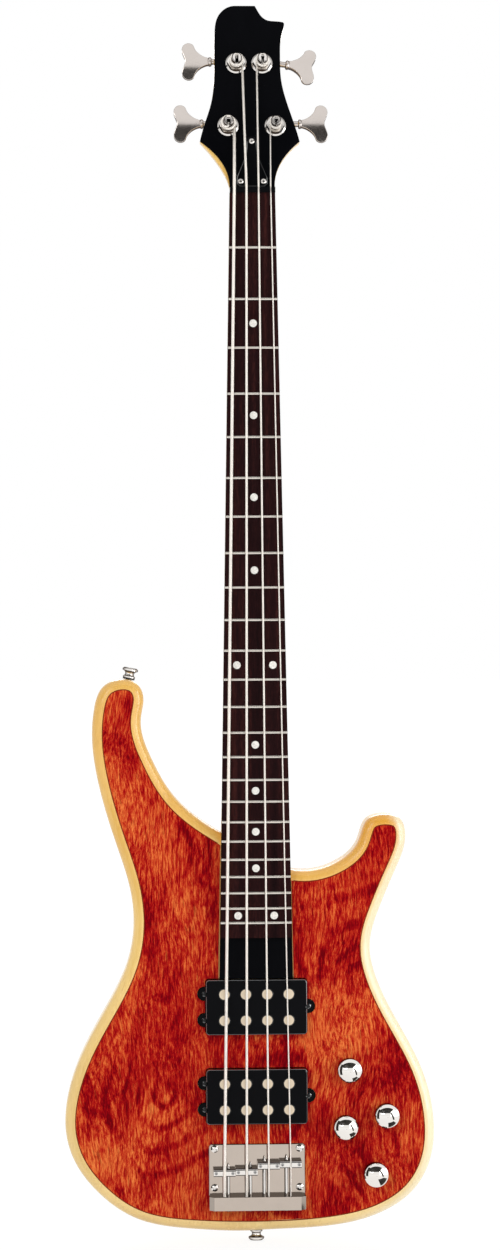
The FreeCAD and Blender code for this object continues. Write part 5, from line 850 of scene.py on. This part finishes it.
print("g string leaves the nut at", run_corners("g")[-1].round(2), "mm")

# %% Turns on the posts
POST_WAIST, STRING_SEAT, TURN_GAP, BUSHING_TOP = 3.9, 0.2, 0.55, 4.5
POST_AXIS = np.array([0, -math.cos(HEAD_TILT), math.sin(HEAD_TILT)])
# Share of a turn that the winding starts early, so that it still meets the run when its post turns a little.
LAP = 0.035
# Share of a turn from which the wire bends into the slot, and how near to the post's axis it ends.
BEND_SHARE, SLOT_END = 0.09, 0.6
STEPS_PER_TURN, BEND_STEPS = 36, 12


def head_to_frame(points):
    """Head coordinates (across, depth, rise) turned back by the tilt and set at the top of the nut."""
    across, depth, rise = np.moveaxis(np.array(points, float), -1, 0)
    cos, sin = math.cos(HEAD_TILT), math.sin(HEAD_TILT)
    return np.stack([across, depth * cos + rise * sin, NUT_THICKNESS - depth * sin + rise * cos], -1)


def frame_to_head(point):
    """The same turn the other way."""
    cos, sin = math.cos(HEAD_TILT), math.sin(HEAD_TILT)
    y, z = point[1], point[2] - NUT_THICKNESS
    return np.array([point[0], y * cos - z * sin, y * sin + z * cos])


def post_turns(letter, leave):
    """Where a string that leaves the nut touches its post, and its turns there: a helix into the slot.

    The run is a tangent of the circle on which the wire's middle lies, on the inner side of the post.
    """
    gauge, _, turns, _ = STRING_SIZES[letter]
    across, rise = POSTS[letter]
    side = math.copysign(1, across)
    ring = POST_WAIST + gauge / 2 + STRING_SEAT
    low = BUSHING_TOP + 2 * STRING_SEAT + gauge / 2

    def about_post(radius, angle, height):
        """Point at a radius, an angle and a height about the post."""
        return np.stack([across + radius * np.cos(angle), -height, rise + radius * np.sin(angle)], -1)

    local = frame_to_head(leave)
    gap = np.array([local[0] - across, local[2] - rise])
    aim, swing = math.atan2(gap[1], gap[0]), math.acos(ring / np.linalg.norm(gap))
    start = max((aim - swing, aim + swing), key=lambda angle: -side * math.cos(angle))
    turn = np.linspace(-LAP, turns, int(turns * STEPS_PER_TURN) + 1)
    angle = start - side * 2 * np.pi * turn
    height = low + (gauge + TURN_GAP) * turn
    helix = about_post(ring, angle, height)
    kept = helix[turn < turns - BEND_SHARE]
    inside = about_post(SLOT_END, angle[-1], height[-1])
    bend = quadratic(kept[-1], helix[-1], inside, np.linspace(0, 1, BEND_STEPS)[1:, None])
    touch = about_post(ring, start, low)
    return head_to_frame(touch), head_to_frame(np.concatenate([kept, bend]))


print("g string touches its post at", post_turns("g", run_corners("g")[-1])[0].round(2), "mm")

# %% Make the strings
WRAP_PITCH = 0.0006
# Ball end in mm: radius and height of its turned profile, and its start inside the tail block.
BALL_PROFILE = [(0, 0.9), (1.4, 0.3), (2.4, 0), (3.1, 0.8), (3.1, 4.2), (2.4, 5.0), (1.4, 4.8), (0, 4.7)]
BALL_START = 0.5
# Middles of the first two corners of a run: at the tail block's mouth and on the saddle.
MOUTH, CREST = 1 + CORNER_STEPS // 2, 1 + CORNER_STEPS + CORNER_STEPS // 2

for letter in LETTERS:
    radius = STRING_SIZES[letter][0] / 2 * MM
    corners = run_corners(letter)
    touch, turns_path = post_turns(letter, corners[-1])
    run_path = cornered_path([*corners, touch]) * MM
    ball = lathe(BALL_PROFILE, (corners[0][0], STRING_HOLE_Y, TAIL_BACK_Z + BALL_START))
    # A tube starts with its closed end, so the ring on the crest comes one row later.
    tail, speaking = parted(carried_circle(run_path, radius, (0, -1, 0)), CREST + 1)
    piece = surface_piece("wound_string_" + letter, [speaking], string_wire, WRAP_PITCH)
    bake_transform(piece)
    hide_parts("string_" + letter)
    anchor = surface_piece("string_tail_" + letter, [tail, ball], string_wire, WRAP_PITCH)
    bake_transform(anchor)
    turns = carried_circle(turns_path * MM, radius, POST_AXIS)
    coil = surface_piece("string_turns_" + letter, [turns], string_wire, WRAP_PITCH)
    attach(coil, "tuner_post_" + letter)
    print("string", letter, "run", len(run_path), "points, turns", len(turns_path), "points")

# %% [markdown]
# ## Painted shade round the poles
#
# Each pickup pole sits in a bore of the cover, and the narrow gap round its face lies in shade. That shade
# is painted as a flat dark ellipse carried round a circle, one for each of the sixteen poles, laid on the
# front of the poles.

# %% Painted shade round the poles
POLE_PITCH, POLE_ROWS, RIM_RADIUS, RIM_HALF, RIM_RISE = 19.06, 23.2, 4.9, 0.4, 0.05
PICKUP_CENTRES = (-722.7, -802.2)
RIM_STEPS, TRIM_SIDES = 33, 8

spots = np.empty(3 * len(nodes["pickup_poles"].data.vertices))
nodes["pickup_poles"].data.vertices.foreach_get("co", spots)
pole_front = spots[1::3].min()
turn = np.linspace(0, 2 * np.pi, RIM_STEPS)
depth = np.full(RIM_STEPS, pole_front / MM)
gap_shade_rings = []
for centre in PICKUP_CENTRES:
    for row in (-0.5, 0.5):
        for column in (-1.5, -0.5, 0.5, 1.5):
            across = column * POLE_PITCH + RIM_RADIUS * np.cos(turn)
            up = centre + row * POLE_ROWS + RIM_RADIUS * np.sin(turn)
            ring = np.stack([across, depth, up], -1) * MM
            gap_shade_rings.append(carried_circle(ring, (RIM_RISE * MM, RIM_HALF * MM), (0, -1, 0), TRIM_SIDES))
# Painted shade: dark rings on the pole faces, where the gap round each pole lies in shade.
pole_shade_rings = surface_piece("pole_gap_shade", gap_shade_rings, black_satin)
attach(pole_shade_rings, "instrument")
print("pole rims", len(gap_shade_rings), "at depth", round(pole_front, 5))

# %% [markdown]
# ## Stain line
#
# On the real body the red stain ends in a narrow brown line, where it gathered at the edge before the rim
# was scraped back to bare maple. The line runs round the whole top, so it is a smooth closed curve through
# the points of the body outline, moved in by the width of the rounded rim. A flat ellipse is carried along
# it, half sunk in the wood. It stops on both sides of the neck, which covers it there.

# %% Closed curve through points
def closed_curve(points, count):
    """Closed spline: a cubic over each chord, with equal slope and bend where neighbours meet.

    The bends come from one linear system, in which each point ties its own bend to those of its neighbours.
    """
    chord = np.linalg.norm(np.roll(points, -1, 0) - points, axis=1)
    before, index = np.roll(chord, 1), np.arange(len(points))
    system = np.diag(2 * (before + chord))
    system[index, index - 1] += before
    system[index, (index + 1) % len(points)] += chord
    rise = (np.roll(points, -1, 0) - points) / chord[:, None]
    bend = np.linalg.solve(system, 6 * (rise - np.roll(rise, 1, 0)))
    start = np.concatenate([[0], np.cumsum(chord)])
    run = np.linspace(0, start[-1], count, endpoint=False)
    here = np.searchsorted(start, run, side="right") - 1
    ahead, width = (here + 1) % len(points), chord[here, None]
    second = (run - start[here])[:, None] / width
    first = 1 - second
    place = first * points[here] + second * points[ahead] + (
        (first ** 3 - first) * bend[here] + (second ** 3 - second) * bend[ahead]) * width ** 2 / 6
    slope = rise[here] + ((3 * second ** 2 - 1) * bend[ahead] - (3 * first ** 2 - 1) * bend[here]) * width / 6
    return place, slope / np.linalg.norm(slope, axis=1)[:, None]


SQUARE = np.array([(0, 0), (1, 0), (1, 1), (0, 1)])
print("a curve through the corners of a unit square bulges to", closed_curve(SQUARE, 100)[0].max().round(3))

# %% Stain line round the top
# Points of the body outline in mm: across, and up from the tail.
OUTLINE = np.array([
    (0, 0), (62, 3), (112, 15), (142, 36.5), (156.5, 66), (158.6, 97), (148, 143), (126, 186), (107.5, 225),
    (102.2, 253), (111, 287), (126, 322), (134.6, 350), (130.5, 365.5), (115, 370.2), (100.5, 365.5),
    (92, 346), (74, 328.5), (46, 320.5), (10, 329), (-20, 348), (-46, 364.5), (-72, 387.5), (-92, 421.5),
    (-101, 457), (-98.8, 477), (-104.5, 488), (-120, 491.8), (-135, 485), (-143, 465), (-144.8, 439),
    (-139.5, 400), (-124, 346), (-112, 307), (-108.5, 278), (-114, 240), (-133, 200), (-155.5, 158),
    (-168, 120), (-170, 92), (-162, 63), (-142.5, 36.5), (-108, 12), (-58, 2)])
TAIL_END, BODY_FRONT, LINE_INSET, LINE_HALF, LINE_RISE = -923.0, 2.5, 9.3, 0.5, 0.06
NECK_HALF, NECK_FROM, LINE_STEPS = 33.0, -660.0, 1600

edge, heading = closed_curve(OUTLINE, LINE_STEPS)
line = edge + LINE_INSET * np.stack([-heading[:, 1], heading[:, 0]], -1)
route = np.stack([line[:, 0], np.full(len(line), BODY_FRONT), TAIL_END + line[:, 1]], -1)
covered = (np.abs(route[:, 0]) < NECK_HALF) & (route[:, 2] > NECK_FROM)
route = np.roll(route, -(np.flatnonzero(covered)[-1] + 1), 0)[:np.count_nonzero(~covered)]

stain_line, tree, shader, _ = new_material("gathered_stain")
cloud = noise(tree, object_vector(tree), 240.0, 3.0)
colour = blend_colours(tree, cloud, (0.13, 0.006, 0.002), (0.27, 0.045, 0.012))
join(tree, colour, shader.inputs["Base Color"])
set_plain(shader, {"Roughness": 0.4, "Specular IOR Level": 0.06})
strip = carried_circle(route * MM, (LINE_RISE * MM, LINE_HALF * MM), (0, -1, 0), TRIM_SIDES)
band = surface_piece("stain_line", [strip], stain_line)
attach(band, "instrument")
print("stain line", len(route), "points long,", len(band.data.polygons), "faces")
